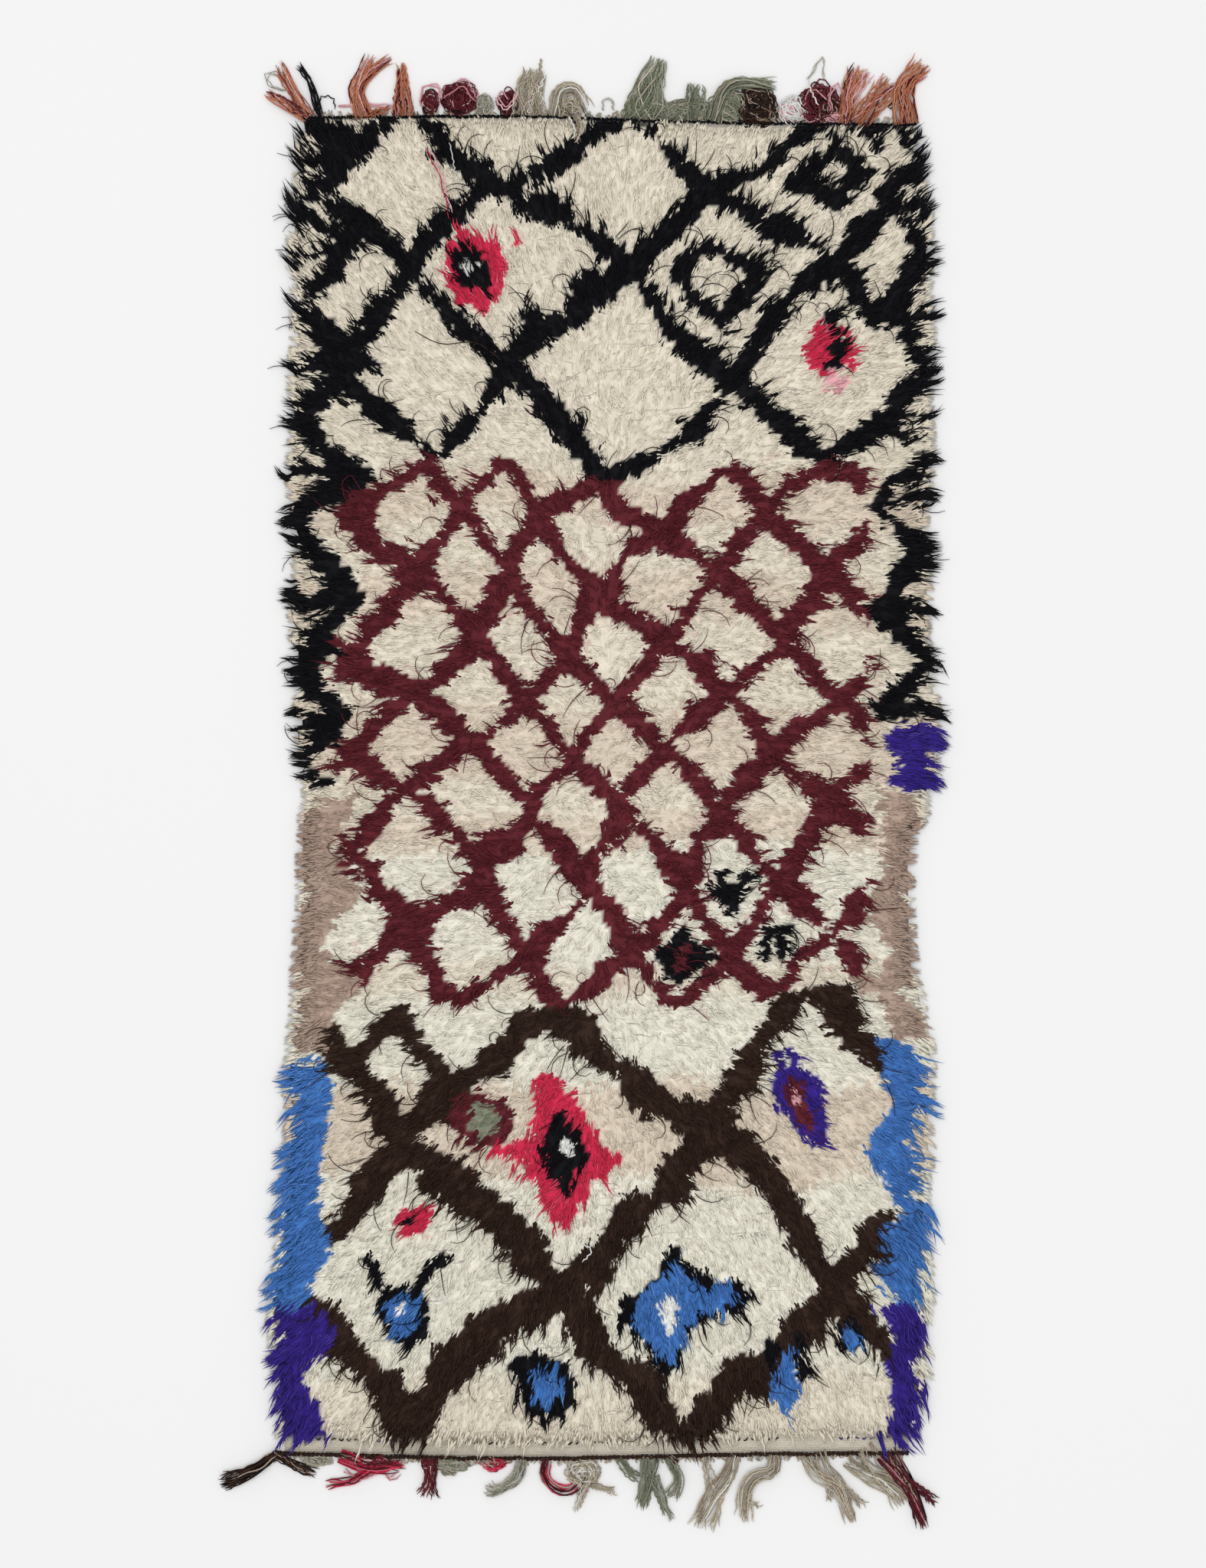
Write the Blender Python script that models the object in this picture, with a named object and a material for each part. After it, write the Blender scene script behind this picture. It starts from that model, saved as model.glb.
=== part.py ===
"""A hand-knotted azilal rug lying flat on the floor: the pile body, a twined cord across each end,
and a fringe of uneven tassels outside each cord.

Units are metres, +Z is up, and +Y runs along the rug towards its top end. Places are first given in
the weave's own coordinates, with X = 0 on the middle warp and Y = 0 half way along. One empty then
carries every piece, so that the whole rug, fringes included, is centred on the world origin and
lies on Z = 0.
"""

import math
from collections import namedtuple

import bmesh
import bpy
from mathutils import Vector

# The middle of the whole rug's box, in the weave's coordinates.
BOX_MIDDLE_X = -0.0452
BOX_MIDDLE_Y = -0.0124

GAP = 0.0004              # between one piece and the next
PILE_HEIGHT = 0.022       # from the floor to the top of the standing pile
PILE_UNEVEN = 0.0015      # how far the pile's top rises and falls
WEAVE_THICKNESS = 0.004   # the bare flat weave
FLAT_STRIP = 0.026        # bare weave between the last knots and the bottom cord
EDGE_HEIGHT = 0.004       # the fanned tufts at the outermost points of the long sides
SCALLOP_DEPTH = 0.005     # how far the locks of pile stand out and in along the long sides
SCALLOP_PITCH = 0.088     # from one group of locks to the next
ROW_PITCH = 0.062         # spacing of the rows of points along the body
INNER_COLUMNS = 8         # columns of points between the two shaped sides

CORD_DIAMETER = 0.006     # the twined cord across each end
CORD_STEP = 0.045         # spacing of the points along a cord
SPINE_WIDTH = 0.009       # the knotted root of a fringe, along the outside of its cord
SPINE_HEIGHT = 0.005
SPINE_TRIM = 0.003        # what the spine is wider by before it's trimmed along the cord
TASSEL_STEPS = 6          # lengths of each tassel
TASSEL_LOWEST = 0.004     # a bundle of yarn lies flat: its height grows with its width, ever more
TASSEL_HIGHEST = 0.014    # slowly, from the lowest towards the highest
TASSEL_FULL_WIDTH = 0.030
TRIM_DEPTH = 0.06         # the block that trims a fringe along its cord: how far it reaches inwards,
TRIM_BEYOND = 0.12        # past both ends of the cord,
TRIM_LOW = -0.01          # and from below the floor
TRIM_HIGH = 0.03          # to above the thickest tassel

# The two ends of the body: where the edge line runs, from one selvedge to the other.
EdgePoint = namedtuple("EdgePoint", "across along")
TOP_EDGE = (
    EdgePoint(-0.515, 1.131),
    EdgePoint(-0.250, 1.134),
    EdgePoint(0.000, 1.129),
    EdgePoint(0.250, 1.122),
    EdgePoint(0.530, 1.120),
)
BOTTOM_EDGE = (
    EdgePoint(-0.556, -1.128),
    EdgePoint(-0.250, -1.136),
    EdgePoint(0.000, -1.135),
    EdgePoint(0.250, -1.130),
    EdgePoint(0.516, -1.127),
)

# How far the pile reaches to either side, from the top end to the bottom.
Reach = namedtuple("Reach", "along left right")
REACHES = (
    Reach(1.130, -0.515, 0.530),
    Reach(0.980, -0.541, 0.558),
    Reach(0.780, -0.536, 0.562),
    Reach(0.560, -0.541, 0.560),
    Reach(0.360, -0.534, 0.553),
    Reach(0.160, -0.535, 0.566),
    Reach(0.020, -0.514, 0.578),
    Reach(-0.060, -0.520, 0.530),
    Reach(-0.280, -0.530, 0.528),
    Reach(-0.480, -0.545, 0.566),
    Reach(-0.700, -0.552, 0.556),
    Reach(-0.860, -0.575, 0.560),
    Reach(-1.000, -0.568, 0.562),
    Reach(-1.130, -0.556, 0.516),
)

# How the pile rounds down to the floor at the long sides: inset from the reach, and its height there.
SidePoint = namedtuple("SidePoint", "inset height")
SIDE_PROFILE = (
    SidePoint(0.000, EDGE_HEIGHT),
    SidePoint(0.011, 0.011),
    SidePoint(0.030, 0.018),
    SidePoint(0.062, PILE_HEIGHT),
)

# The share of the pile's height that stands this far in from each end.
EndPoint = namedtuple("EndPoint", "inset share")
TOP_END_PROFILE = (
    EndPoint(0.000, 0.55),
    EndPoint(0.018, 0.85),
    EndPoint(0.048, 1.00),
)
BOTTOM_END_PROFILE = (
    EndPoint(0.000, 0.00),
    EndPoint(FLAT_STRIP, 0.00),
    EndPoint(FLAT_STRIP + 0.014, 0.70),
    EndPoint(FLAT_STRIP + 0.045, 1.00),
)

# Tassels of the two fringes, left to right. Each lies in a curve from its root through a bend to its
# tip; "out" is how far from the fringe's root line, and the widths are of the bundle lying flat.
Tassel = namedtuple(
    "Tassel", "root_x bend_x bend_out tip_x tip_out root_width bend_width tip_width"
)
TOP_TASSELS = {
    "salmon_upper": Tassel(-0.499, -0.527, 0.050, -0.556, 0.088, 0.016, 0.020, 0.012),
    "salmon_lower": Tassel(-0.501, -0.536, 0.020, -0.577, 0.040, 0.018, 0.020, 0.010),
    "dark_lock": Tassel(-0.480, -0.498, 0.048, -0.523, 0.088, 0.012, 0.011, 0.006),
    "orange_crescent": Tassel(-0.380, -0.420, 0.042, -0.385, 0.096, 0.024, 0.030, 0.022),
    "orange_leaf": Tassel(-0.341, -0.338, 0.045, -0.342, 0.094, 0.022, 0.036, 0.008),
    "maroon_curl": Tassel(-0.295, -0.295, 0.022, -0.293, 0.042, 0.040, 0.042, 0.020),
    "maroon_dome": Tassel(-0.243, -0.243, 0.034, -0.247, 0.062, 0.062, 0.062, 0.030),
    "grey_block": Tassel(-0.200, -0.200, 0.018, -0.200, 0.034, 0.035, 0.035, 0.030),
    "maroon_scraps": Tassel(-0.165, -0.160, 0.022, -0.153, 0.043, 0.040, 0.030, 0.020),
    "crinkled_bunch": Tassel(-0.128, -0.127, 0.045, -0.116, 0.088, 0.045, 0.046, 0.026),
    "grey_arch": Tassel(-0.054, -0.056, 0.030, -0.053, 0.056, 0.060, 0.054, 0.028),
    "small_loop": Tassel(0.008, 0.008, 0.018, 0.008, 0.034, 0.024, 0.025, 0.016),
    "sage_tall": Tassel(0.064, 0.073, 0.046, 0.099, 0.098, 0.078, 0.046, 0.020),
    "sage_short": Tassel(0.142, 0.150, 0.030, 0.166, 0.058, 0.075, 0.042, 0.024),
    "sage_sweep": Tassel(0.195, 0.212, 0.036, 0.252, 0.068, 0.050, 0.048, 0.026),
    "brown_clump": Tassel(0.250, 0.250, 0.022, 0.252, 0.044, 0.066, 0.066, 0.040),
    "pale_clump": Tassel(0.323, 0.323, 0.022, 0.322, 0.044, 0.050, 0.050, 0.036),
    "maroon_brown": Tassel(0.366, 0.366, 0.036, 0.372, 0.070, 0.060, 0.060, 0.028),
    "orange_slant": Tassel(0.396, 0.418, 0.045, 0.444, 0.089, 0.032, 0.032, 0.022),
    "orange_bend": Tassel(0.440, 0.466, 0.026, 0.491, 0.064, 0.032, 0.032, 0.020),
    "orange_end": Tassel(0.511, 0.519, 0.048, 0.556, 0.094, 0.024, 0.040, 0.016),
}
BOTTOM_TASSELS = {
    "brown_bundle": Tassel(-0.544, -0.594, 0.008, -0.656, 0.041, 0.014, 0.016, 0.024),
    "brown_edge": Tassel(-0.535, -0.512, 0.010, -0.486, 0.024, 0.016, 0.016, 0.010),
    "crimson_sweep": Tassel(-0.338, -0.405, 0.016, -0.474, 0.046, 0.020, 0.020, 0.016),
    "maroon_knot": Tassel(-0.290, -0.298, 0.032, -0.309, 0.066, 0.030, 0.026, 0.014),
    "grey_knot": Tassel(-0.262, -0.262, 0.032, -0.254, 0.064, 0.034, 0.034, 0.014),
    "grey_roll": Tassel(-0.224, -0.227, 0.012, -0.232, 0.022, 0.036, 0.036, 0.024),
    "crimson_block": Tassel(-0.190, -0.190, 0.012, -0.190, 0.022, 0.036, 0.034, 0.026),
    "grey_plied": Tassel(-0.138, -0.155, 0.038, -0.202, 0.050, 0.018, 0.022, 0.018),
    "crimson_loop": Tassel(-0.100, -0.092, 0.044, -0.052, 0.048, 0.014, 0.014, 0.014),
    "grey_green_fan": Tassel(-0.036, -0.036, 0.040, -0.045, 0.092, 0.048, 0.040, 0.010),
    "grey_green_side": Tassel(-0.020, -0.006, 0.046, 0.026, 0.060, 0.020, 0.014, 0.006),
    "green_left_root": Tassel(0.036, 0.048, 0.028, 0.072, 0.050, 0.016, 0.016, 0.016),
    "green_tall": Tassel(0.079, 0.076, 0.046, 0.067, 0.094, 0.024, 0.026, 0.012),
    "green_right": Tassel(0.088, 0.098, 0.052, 0.114, 0.104, 0.016, 0.020, 0.010),
    "green_ring": Tassel(0.126, 0.136, 0.036, 0.104, 0.066, 0.018, 0.018, 0.018),
    "beige_y_left": Tassel(0.175, 0.183, 0.042, 0.184, 0.078, 0.016, 0.016, 0.020),
    "beige_y_right": Tassel(0.227, 0.204, 0.052, 0.164, 0.122, 0.018, 0.018, 0.034),
    "beige_hook": Tassel(0.289, 0.250, 0.040, 0.236, 0.092, 0.016, 0.024, 0.018),
    "beige_fan": Tassel(0.334, 0.364, 0.040, 0.412, 0.084, 0.022, 0.036, 0.012),
    "beige_sweep": Tassel(0.424, 0.448, 0.038, 0.507, 0.080, 0.042, 0.036, 0.022),
    "dark_red_corner": Tassel(0.486, 0.508, 0.054, 0.546, 0.124, 0.030, 0.026, 0.018),
}

Finish = namedtuple("Finish", "colour roughness metallic")
FINISHES = {
    "rug_body": Finish((0.62, 0.57, 0.47), 0.95, 0.0),
    "cord": Finish((0.055, 0.030, 0.022), 0.90, 0.0),
    "fringe_top": Finish((0.38, 0.24, 0.17), 0.90, 0.0),
    "fringe_bottom": Finish((0.36, 0.31, 0.25), 0.90, 0.0),
}


def clear_scene():
    """Removes whatever the scene starts with."""
    for obj in list(bpy.data.objects):
        bpy.data.objects.remove(obj, do_unlink=True)


def material(name):
    """The Principled material of one kind of piece."""
    finish = FINISHES[name]
    made = bpy.data.materials.new(name)
    made.use_nodes = True
    shader = made.node_tree.nodes["Principled BSDF"]
    shader.inputs["Base Color"].default_value = (*finish.colour, 1.0)
    shader.inputs["Roughness"].default_value = finish.roughness
    shader.inputs["Metallic"].default_value = finish.metallic
    made.diffuse_color = (*finish.colour, 1.0)
    return made


def between(value, rows, key, column):
    """Reads one column of a table at a value of its key column, in a straight line between rows."""
    ordered = sorted(rows, key=lambda row: getattr(row, key))
    keys = [getattr(row, key) for row in ordered]
    values = [getattr(row, column) for row in ordered]
    if value <= keys[0]:
        return values[0]
    for i in range(len(keys) - 1):
        if value <= keys[i + 1]:
            share = (value - keys[i]) / (keys[i + 1] - keys[i])
            return values[i] + share * (values[i + 1] - values[i])
    return values[-1]


def edge_along(across, edge):
    """How far along the rug an end's edge line lies, at a place across it."""
    return between(across, edge, "across", "along")


def scallop(along, phase):
    """How far the locks of one long side stand out here. It fades to nothing at both ends."""
    fade = min(1.0, (TOP_EDGE[0].along - abs(along)) / SCALLOP_PITCH)
    wave = math.sin(math.tau * along / SCALLOP_PITCH + phase)
    slow = math.sin(math.tau * along / (2.7 * SCALLOP_PITCH) + 1.9 * phase)
    return SCALLOP_DEPTH * max(0.0, fade) * (0.7 * wave + 0.3 * slow)


def body_rows():
    """Insets of the rows of points, as shares of the way from the bottom edge to the top edge."""
    length = TOP_EDGE[2].along - BOTTOM_EDGE[2].along
    insets = [p.inset / length for p in BOTTOM_END_PROFILE]
    ends = [1.0 - p.inset / length for p in TOP_END_PROFILE]
    first = insets[-1]
    last = ends[-1]
    count = round((last - first) * length / ROW_PITCH)
    middle = [first + (last - first) * i / count for i in range(1, count)]
    return insets + middle + ends[::-1]


def body_columns(left, right):
    """Places across one row: the shaped left side, the even middle, and the shaped right side."""
    lefts = [left + p.inset for p in SIDE_PROFILE]
    rights = [right - p.inset for p in SIDE_PROFILE]
    step = (rights[-1] - lefts[-1]) / (INNER_COLUMNS + 1)
    middle = [lefts[-1] + step * (i + 1) for i in range(INNER_COLUMNS)]
    return lefts + middle + rights[::-1]


def body_height(across, along, left, right, from_bottom, from_top):
    """The pile's height over one point of the body."""
    side = between(min(across - left, right - across), SIDE_PROFILE, "inset", "height")
    bottom = between(from_bottom, BOTTOM_END_PROFILE, "inset", "share")
    top = between(from_top, TOP_END_PROFILE, "inset", "share")
    uneven = math.sin(9.0 * across + 2.0 * math.sin(3.0 * along)) * math.sin(7.0 * along + 4.0 * across)
    pile = side * bottom * top * (1.0 + PILE_UNEVEN / PILE_HEIGHT * uneven)
    return max(min(side, WEAVE_THICKNESS), pile)


def make_body(parent):
    """The rug's body with its pile: one closed solid, flat underneath."""
    shares = body_rows()
    columns = len(body_columns(-1.0, 1.0))
    mesh = bpy.data.meshes.new("rug_body")
    bm = bmesh.new()
    bmesh.ops.create_grid(bm, x_segments=columns - 1, y_segments=len(shares) - 1, size=1.0)
    bm.verts.ensure_lookup_table()
    for i, share in enumerate(shares):
        for j in range(columns):
            middle = BOTTOM_EDGE[2].along + share * (TOP_EDGE[2].along - BOTTOM_EDGE[2].along)
            left = between(middle, REACHES, "along", "left") - scallop(middle, 0.4)
            right = between(middle, REACHES, "along", "right") + scallop(middle, 2.3)
            across = body_columns(left, right)[j]
            bottom = edge_along(across, BOTTOM_EDGE)
            top = edge_along(across, TOP_EDGE)
            along = bottom + share * (top - bottom)
            height = body_height(across, along, left, right, along - bottom, top - along)
            bm.verts[i * columns + j].co = (across, along, height)
    rim = [edge for edge in bm.edges if edge.is_boundary]
    wall = bmesh.ops.extrude_edge_only(bm, edges=rim)["geom"]
    for vert in (item for item in wall if isinstance(item, bmesh.types.BMVert)):
        vert.co.z = 0.0
    underside = [edge for edge in bm.edges if edge.is_boundary]
    bmesh.ops.contextual_create(bm, geom=underside)
    bmesh.ops.recalc_face_normals(bm, faces=bm.faces)
    bm.to_mesh(mesh)
    bm.free()
    return add_object("rug_body", mesh, "rug_body", parent)


def add_object(name, data, finish, parent):
    """Puts one piece into the scene under the empty that carries the whole rug."""
    obj = bpy.data.objects.new(name, data)
    bpy.context.scene.collection.objects.link(obj)
    data.materials.append(material(finish))
    obj.parent = parent
    return obj


def edge_line(edge, outwards, distance, beyond=0.0):
    """Points along a line that runs outside an end's edge, at a distance from it."""
    first = edge[0].across - beyond
    last = edge[-1].across + beyond
    count = round((last - first) / CORD_STEP)
    places = [first + (last - first) * i / count for i in range(count + 1)]
    return [Vector((x, edge_along(x, edge) + outwards * distance, 0.0)) for x in places]


def make_cord(name, edge, outwards, parent):
    """The twined cord that closes one end of the weave: a round bar on the floor."""
    radius = CORD_DIAMETER / 2
    curve = bpy.data.curves.new(name, "CURVE")
    curve.dimensions = "3D"
    curve.bevel_depth = radius
    curve.bevel_resolution = 2
    curve.use_fill_caps = True
    points = edge_line(edge, outwards, GAP + radius)
    spline = curve.splines.new("POLY")
    spline.points.add(len(points) - 1)
    for target, point in zip(spline.points, points):
        target.co = (point.x, point.y, radius, 1.0)
    return add_object(name, curve, "cord", parent)


def bundle_section(width, height):
    """Sideways and upward offsets round a bundle of yarn that lies flat on the floor."""
    return (
        (-0.50 * width, 0.0),
        (-0.46 * width, 0.55 * height),
        (-0.24 * width, height),
        (0.24 * width, height),
        (0.46 * width, 0.55 * height),
        (0.50 * width, 0.0),
    )


def sweep(bm, centres, widths, heights):
    """A closed bar of bundle sections along a line of centres on the floor."""
    rings = []
    for i, centre in enumerate(centres):
        ahead = centres[min(i + 1, len(centres) - 1)] - centres[max(i - 1, 0)]
        side = Vector((-ahead.y, ahead.x, 0.0)).normalized()
        offsets = bundle_section(widths[i], heights[i])
        rings.append([bm.verts.new(centre + side * x + Vector((0.0, 0.0, z))) for x, z in offsets])
    for ring, following in zip(rings, rings[1:]):
        for k in range(len(ring)):
            after = (k + 1) % len(ring)
            bm.faces.new((ring[k], ring[after], following[after], following[k]))
    bm.faces.new(rings[0])
    bm.faces.new(rings[-1])


def tassel_bar(row, edge, outwards, root_line):
    """Centres, widths and heights along one tassel, from inside the fringe's root to its tip."""
    foot = edge_along(row.root_x, edge) + outwards * root_line
    root = Vector((row.root_x, foot, 0.0))
    bend = Vector((row.bend_x, foot + outwards * row.bend_out, 0.0))
    tip = Vector((row.tip_x, foot + outwards * row.tip_out, 0.0))
    pull = 2.0 * bend - 0.5 * (root + tip)
    centres = []
    widths = []
    heights = []
    for i in range(TASSEL_STEPS + 1):
        t = i / TASSEL_STEPS
        centres.append((1 - t) ** 2 * root + 2 * t * (1 - t) * pull + t**2 * tip)
        if t <= 0.5:
            width = row.root_width + (row.bend_width - row.root_width) * 2 * t
        else:
            width = row.bend_width + (row.tip_width - row.bend_width) * (2 * t - 1)
        widths.append(width)
        fullness = 1.0 - math.exp(-width / TASSEL_FULL_WIDTH)
        heights.append(TASSEL_LOWEST + (TASSEL_HIGHEST - TASSEL_LOWEST) * fullness)
    return centres, widths, heights


def bars_object(name, bars, finish, parent):
    """Closed bars as one object. Each bar is its line of centres, its widths and its heights."""
    mesh = bpy.data.meshes.new(name)
    bm = bmesh.new()
    for centres, widths, heights in bars:
        sweep(bm, centres, widths, heights)
    bmesh.ops.recalc_face_normals(bm, faces=bm.faces)
    bm.to_mesh(mesh)
    bm.free()
    return add_object(name, mesh, finish, parent)


def make_trim(name, edge, outwards, parent):
    """The block that cuts a fringe straight along the outside of its cord."""
    outer = edge_line(edge, outwards, 2 * GAP + CORD_DIAMETER, TRIM_BEYOND)
    inner = edge_line(edge, outwards, -TRIM_DEPTH, TRIM_BEYOND)
    mesh = bpy.data.meshes.new(name)
    bm = bmesh.new()
    outline = [bm.verts.new(point + Vector((0.0, 0.0, TRIM_LOW))) for point in outer + inner[::-1]]
    base = bm.faces.new(outline)
    raised = bmesh.ops.extrude_face_region(bm, geom=[base])["geom"]
    tops = [item for item in raised if isinstance(item, bmesh.types.BMVert)]
    bmesh.ops.translate(bm, verts=tops, vec=(0.0, 0.0, TRIM_HIGH - TRIM_LOW))
    bmesh.ops.recalc_face_normals(bm, faces=bm.faces)
    bm.to_mesh(mesh)
    bm.free()
    return as_helper(add_object(name, mesh, "cord", parent))


def as_helper(obj):
    """Marks an object that only shapes another one."""
    obj.hide_render = True
    obj.display_type = "WIRE"
    return obj


def add_boolean(obj, operation, helper):
    """Joins a helper to an object, or cuts it away."""
    made = obj.modifiers.new(helper.name, "BOOLEAN")
    made.operation = operation
    made.solver = "EXACT"
    made.use_self = operation == "UNION"
    made.object = helper


def make_fringe(name, edge, outwards, tassels, parent):
    """One fringe: a comb whose spine lies along its cord and whose teeth are the tassels."""
    root_line = 2 * GAP + CORD_DIAMETER + SPINE_WIDTH / 2
    line = edge_line(edge, outwards, root_line)
    widths = [SPINE_WIDTH + SPINE_TRIM] * len(line)
    comb = bars_object(name, [(line, widths, [SPINE_HEIGHT] * len(line))], name, parent)
    bars = [tassel_bar(row, edge, outwards, root_line) for row in tassels.values()]
    teeth = as_helper(bars_object(f"{name}_teeth", bars, name, parent))
    add_boolean(comb, "UNION", teeth)
    add_boolean(comb, "DIFFERENCE", make_trim(f"{name}_trim", edge, outwards, parent))
    return comb


def main():
    """Builds the rug."""
    clear_scene()
    carrier = bpy.data.objects.new("rug", None)
    bpy.context.scene.collection.objects.link(carrier)
    carrier.location = (-BOX_MIDDLE_X, -BOX_MIDDLE_Y, 0.0)
    make_body(carrier)
    make_cord("header_cord_top", TOP_EDGE, 1.0, carrier)
    make_cord("header_cord_bottom", BOTTOM_EDGE, -1.0, carrier)
    make_fringe("fringe_top", TOP_EDGE, 1.0, TOP_TASSELS, carrier)
    make_fringe("fringe_bottom", BOTTOM_EDGE, -1.0, BOTTOM_TASSELS, carrier)
    bpy.context.view_layer.update()


main()
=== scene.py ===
"""A hand-knotted azilal rug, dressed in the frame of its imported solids.

The pile is laid knot by knot. Three nets of lozenges, worked out from the width of one lozenge,
run down the weave between two zigzag borders, with small figures set into some of the lozenges. A
woven ground lies under it, a twined cord closes each end, and hanks of left-over yarn make the
fringes. Sizes are in metres, and the pattern's are in centimetres from the middle of the weave, with
Y towards the top end.
"""

import logging
import math
from dataclasses import dataclass, field, replace
from enum import Enum

import bmesh
import bpy
import numpy as np
from mathutils import Matrix, Vector


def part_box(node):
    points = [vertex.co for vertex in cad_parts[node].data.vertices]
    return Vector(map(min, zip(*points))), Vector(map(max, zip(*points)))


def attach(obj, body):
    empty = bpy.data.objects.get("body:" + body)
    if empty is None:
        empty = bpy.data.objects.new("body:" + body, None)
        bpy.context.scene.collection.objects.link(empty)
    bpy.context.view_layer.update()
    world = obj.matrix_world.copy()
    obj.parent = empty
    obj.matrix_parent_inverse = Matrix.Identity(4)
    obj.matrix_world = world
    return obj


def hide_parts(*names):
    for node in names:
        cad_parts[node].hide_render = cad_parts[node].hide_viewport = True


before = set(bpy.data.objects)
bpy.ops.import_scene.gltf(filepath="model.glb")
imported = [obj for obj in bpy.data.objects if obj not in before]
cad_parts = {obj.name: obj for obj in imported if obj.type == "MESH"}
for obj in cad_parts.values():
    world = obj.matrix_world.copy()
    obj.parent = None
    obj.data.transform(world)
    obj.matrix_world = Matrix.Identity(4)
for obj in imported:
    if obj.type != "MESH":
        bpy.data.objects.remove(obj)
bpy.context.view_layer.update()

BODY = "root"
CM = 0.01
SEED = 23
LOG = logging.getLogger("azilal_rug")

Array = np.ndarray
Place = tuple[float, float]


# ---------------------------------------------------------------------------------------------
# The chart
# ---------------------------------------------------------------------------------------------


class Yarn(Enum):
    """The wools of the pile and the fringes."""

    CREAM = "cream"
    OATMEAL = "oatmeal"
    CHALK = "chalk"
    BLACK = "black"
    MAROON = "maroon"
    BROWN = "brown"
    BLUE = "blue"
    INDIGO = "indigo"
    TAUPE = "taupe"
    CRIMSON = "crimson"
    PINK = "pink"
    WHITE = "white"
    SAGE = "sage"
    ORANGE = "orange"
    GREY = "grey"
    BEIGE = "beige"
    BLUSH = "blush"

    @property
    def number(self) -> int:
        """The yarn's place among all the yarns."""
        return YARNS.index(self)


YARNS = tuple(Yarn)


def numbers(yarns: tuple[Yarn, ...]) -> list[int]:
    """Gives the yarns' places among all the yarns."""
    return [yarn.number for yarn in yarns]



@dataclass(frozen=True)
class Bar:
    """A straight bar of coloured knots between two places, in centimetres."""

    yarn: Yarn
    width: float
    start: Place
    end: Place

    def inside(self, x: Array, y: Array, swell: Array) -> Array:
        """Tells which knots belong to this bar.

        Args:
            x: Places across the weave, in centimetres.
            y: Places along the weave, in centimetres.
            swell: How much wider or narrower than its width the bar is at each place.

        Returns:
            True for each knot inside the bar.
        """
        run_x = self.end[0] - self.start[0]
        run_y = self.end[1] - self.start[1]
        share = ((x - self.start[0]) * run_x + (y - self.start[1]) * run_y) / (run_x**2 + run_y**2)
        share = np.clip(share, 0.0, 1.0)
        away = np.hypot(x - self.start[0] - share * run_x, y - self.start[1] - share * run_y)
        return away < 0.5 * self.width * swell


@dataclass(frozen=True)
class Patch:
    """A filled figure: its middle and half sizes in centimetres, rounded or with four corners.

    Give is the share of the weaver's unevenness that its outline takes.
    """

    yarn: Yarn
    middle: Place
    across: float
    along: float
    cornered: bool = False
    give: float = 0.45

    def inside(self, x: Array, y: Array, swell: Array) -> Array:
        """Tells which knots belong to this figure, as Bar.inside does.

        Args:
            x: Places across the weave, in centimetres.
            y: Places along the weave, in centimetres.
            swell: How much wider or narrower the figure is at each place.

        Returns:
            True for each knot inside the figure.
        """
        dx = np.abs(x - self.middle[0]) / self.across
        dy = np.abs(y - self.middle[1]) / self.along
        return (dx + dy if self.cornered else np.hypot(dx, dy)) < 1.0 + self.give * (swell - 1.0)


@dataclass(frozen=True)
class Net:
    """An open net of lozenges in one yarn, between two levels of the weave, in centimetres.

    Its corners lie on rows half a lozenge apart, and every other row is set half a lozenge aside.
    """

    yarn: Yarn
    top: float
    bottom: float
    across: float
    along: float
    middle: float
    level: float
    width: float = 3.5
    edge: float = 45.0

    def inside(self, x: Array, y: Array, swell: Array) -> Array:
        """Tells which knots belong to the net, as Bar.inside does.

        Args:
            x: Places across the weave, in centimetres.
            y: Places along the weave, in centimetres.
            swell: How much wider or narrower the lines are at each place.

        Returns:
            True for each knot on a line of the net.
        """
        column = (x - self.middle) / (0.5 * self.across)
        row = (y - self.level) / (0.5 * self.along)
        rising = np.abs(column - row - 2.0 * np.round(0.5 * (column - row)))
        falling = np.abs(column + row - 2.0 * np.round(0.5 * (column + row)))
        away = np.minimum(rising, falling) / math.hypot(2.0 / self.across, 2.0 / self.along)
        held = (y <= self.top) & (y > self.bottom) & (np.abs(x) < self.edge)
        return held & (away < 0.5 * self.width * swell)

    def cell(self, column: int, row: int, shift: Place = (0.0, 0.0)) -> Place:
        """Finds the middle of a lozenge, where column and row add up to an odd number.

        Args:
            column: Half lozenges to the right of the net's middle.
            row: Half lozenges above the net's level.
            shift: How far aside of the lozenge's middle the place is.

        Returns:
            The place, in centimetres.
        """
        across = self.middle + 0.5 * self.across * column + shift[0]
        return across, self.level + 0.5 * self.along * row + shift[1]


@dataclass(frozen=True)
class Zigzag:
    """A zigzag band beside one selvedge, with thin rungs that reach out from its inner corners."""

    side: int
    yarn: Yarn
    top: float
    bottom: float
    depth: float
    pitch: float
    width: float
    middle: float = 49.0
    rung: float = 0.0

    def inside(self, x: Array, y: Array, swell: Array) -> Array:
        """Tells which knots belong to the band, as Bar.inside does.

        Args:
            x: Places across the weave, in centimetres.
            y: Places along the weave, in centimetres.
            swell: How much wider or narrower the band is at each place.

        Returns:
            True for each knot inside the band.
        """
        turn = math.tau * y / self.pitch
        line = self.middle + self.depth * np.arcsin(np.sin(turn)) / (0.5 * math.pi)
        steep = math.hypot(1.0, 4.0 * self.depth / self.pitch)
        band = np.abs(self.side * x - line) / steep < 0.5 * self.width * swell
        to_rung = np.abs(y / self.pitch + 0.25 - np.round(y / self.pitch + 0.25)) * self.pitch
        band |= (to_rung < 0.5 * self.rung * swell) & (self.side * x > line)
        return band & (y <= self.top) & (y > self.bottom) & (self.side * x > 0.0)


Figure = Bar | Patch | Net | Zigzag


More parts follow.
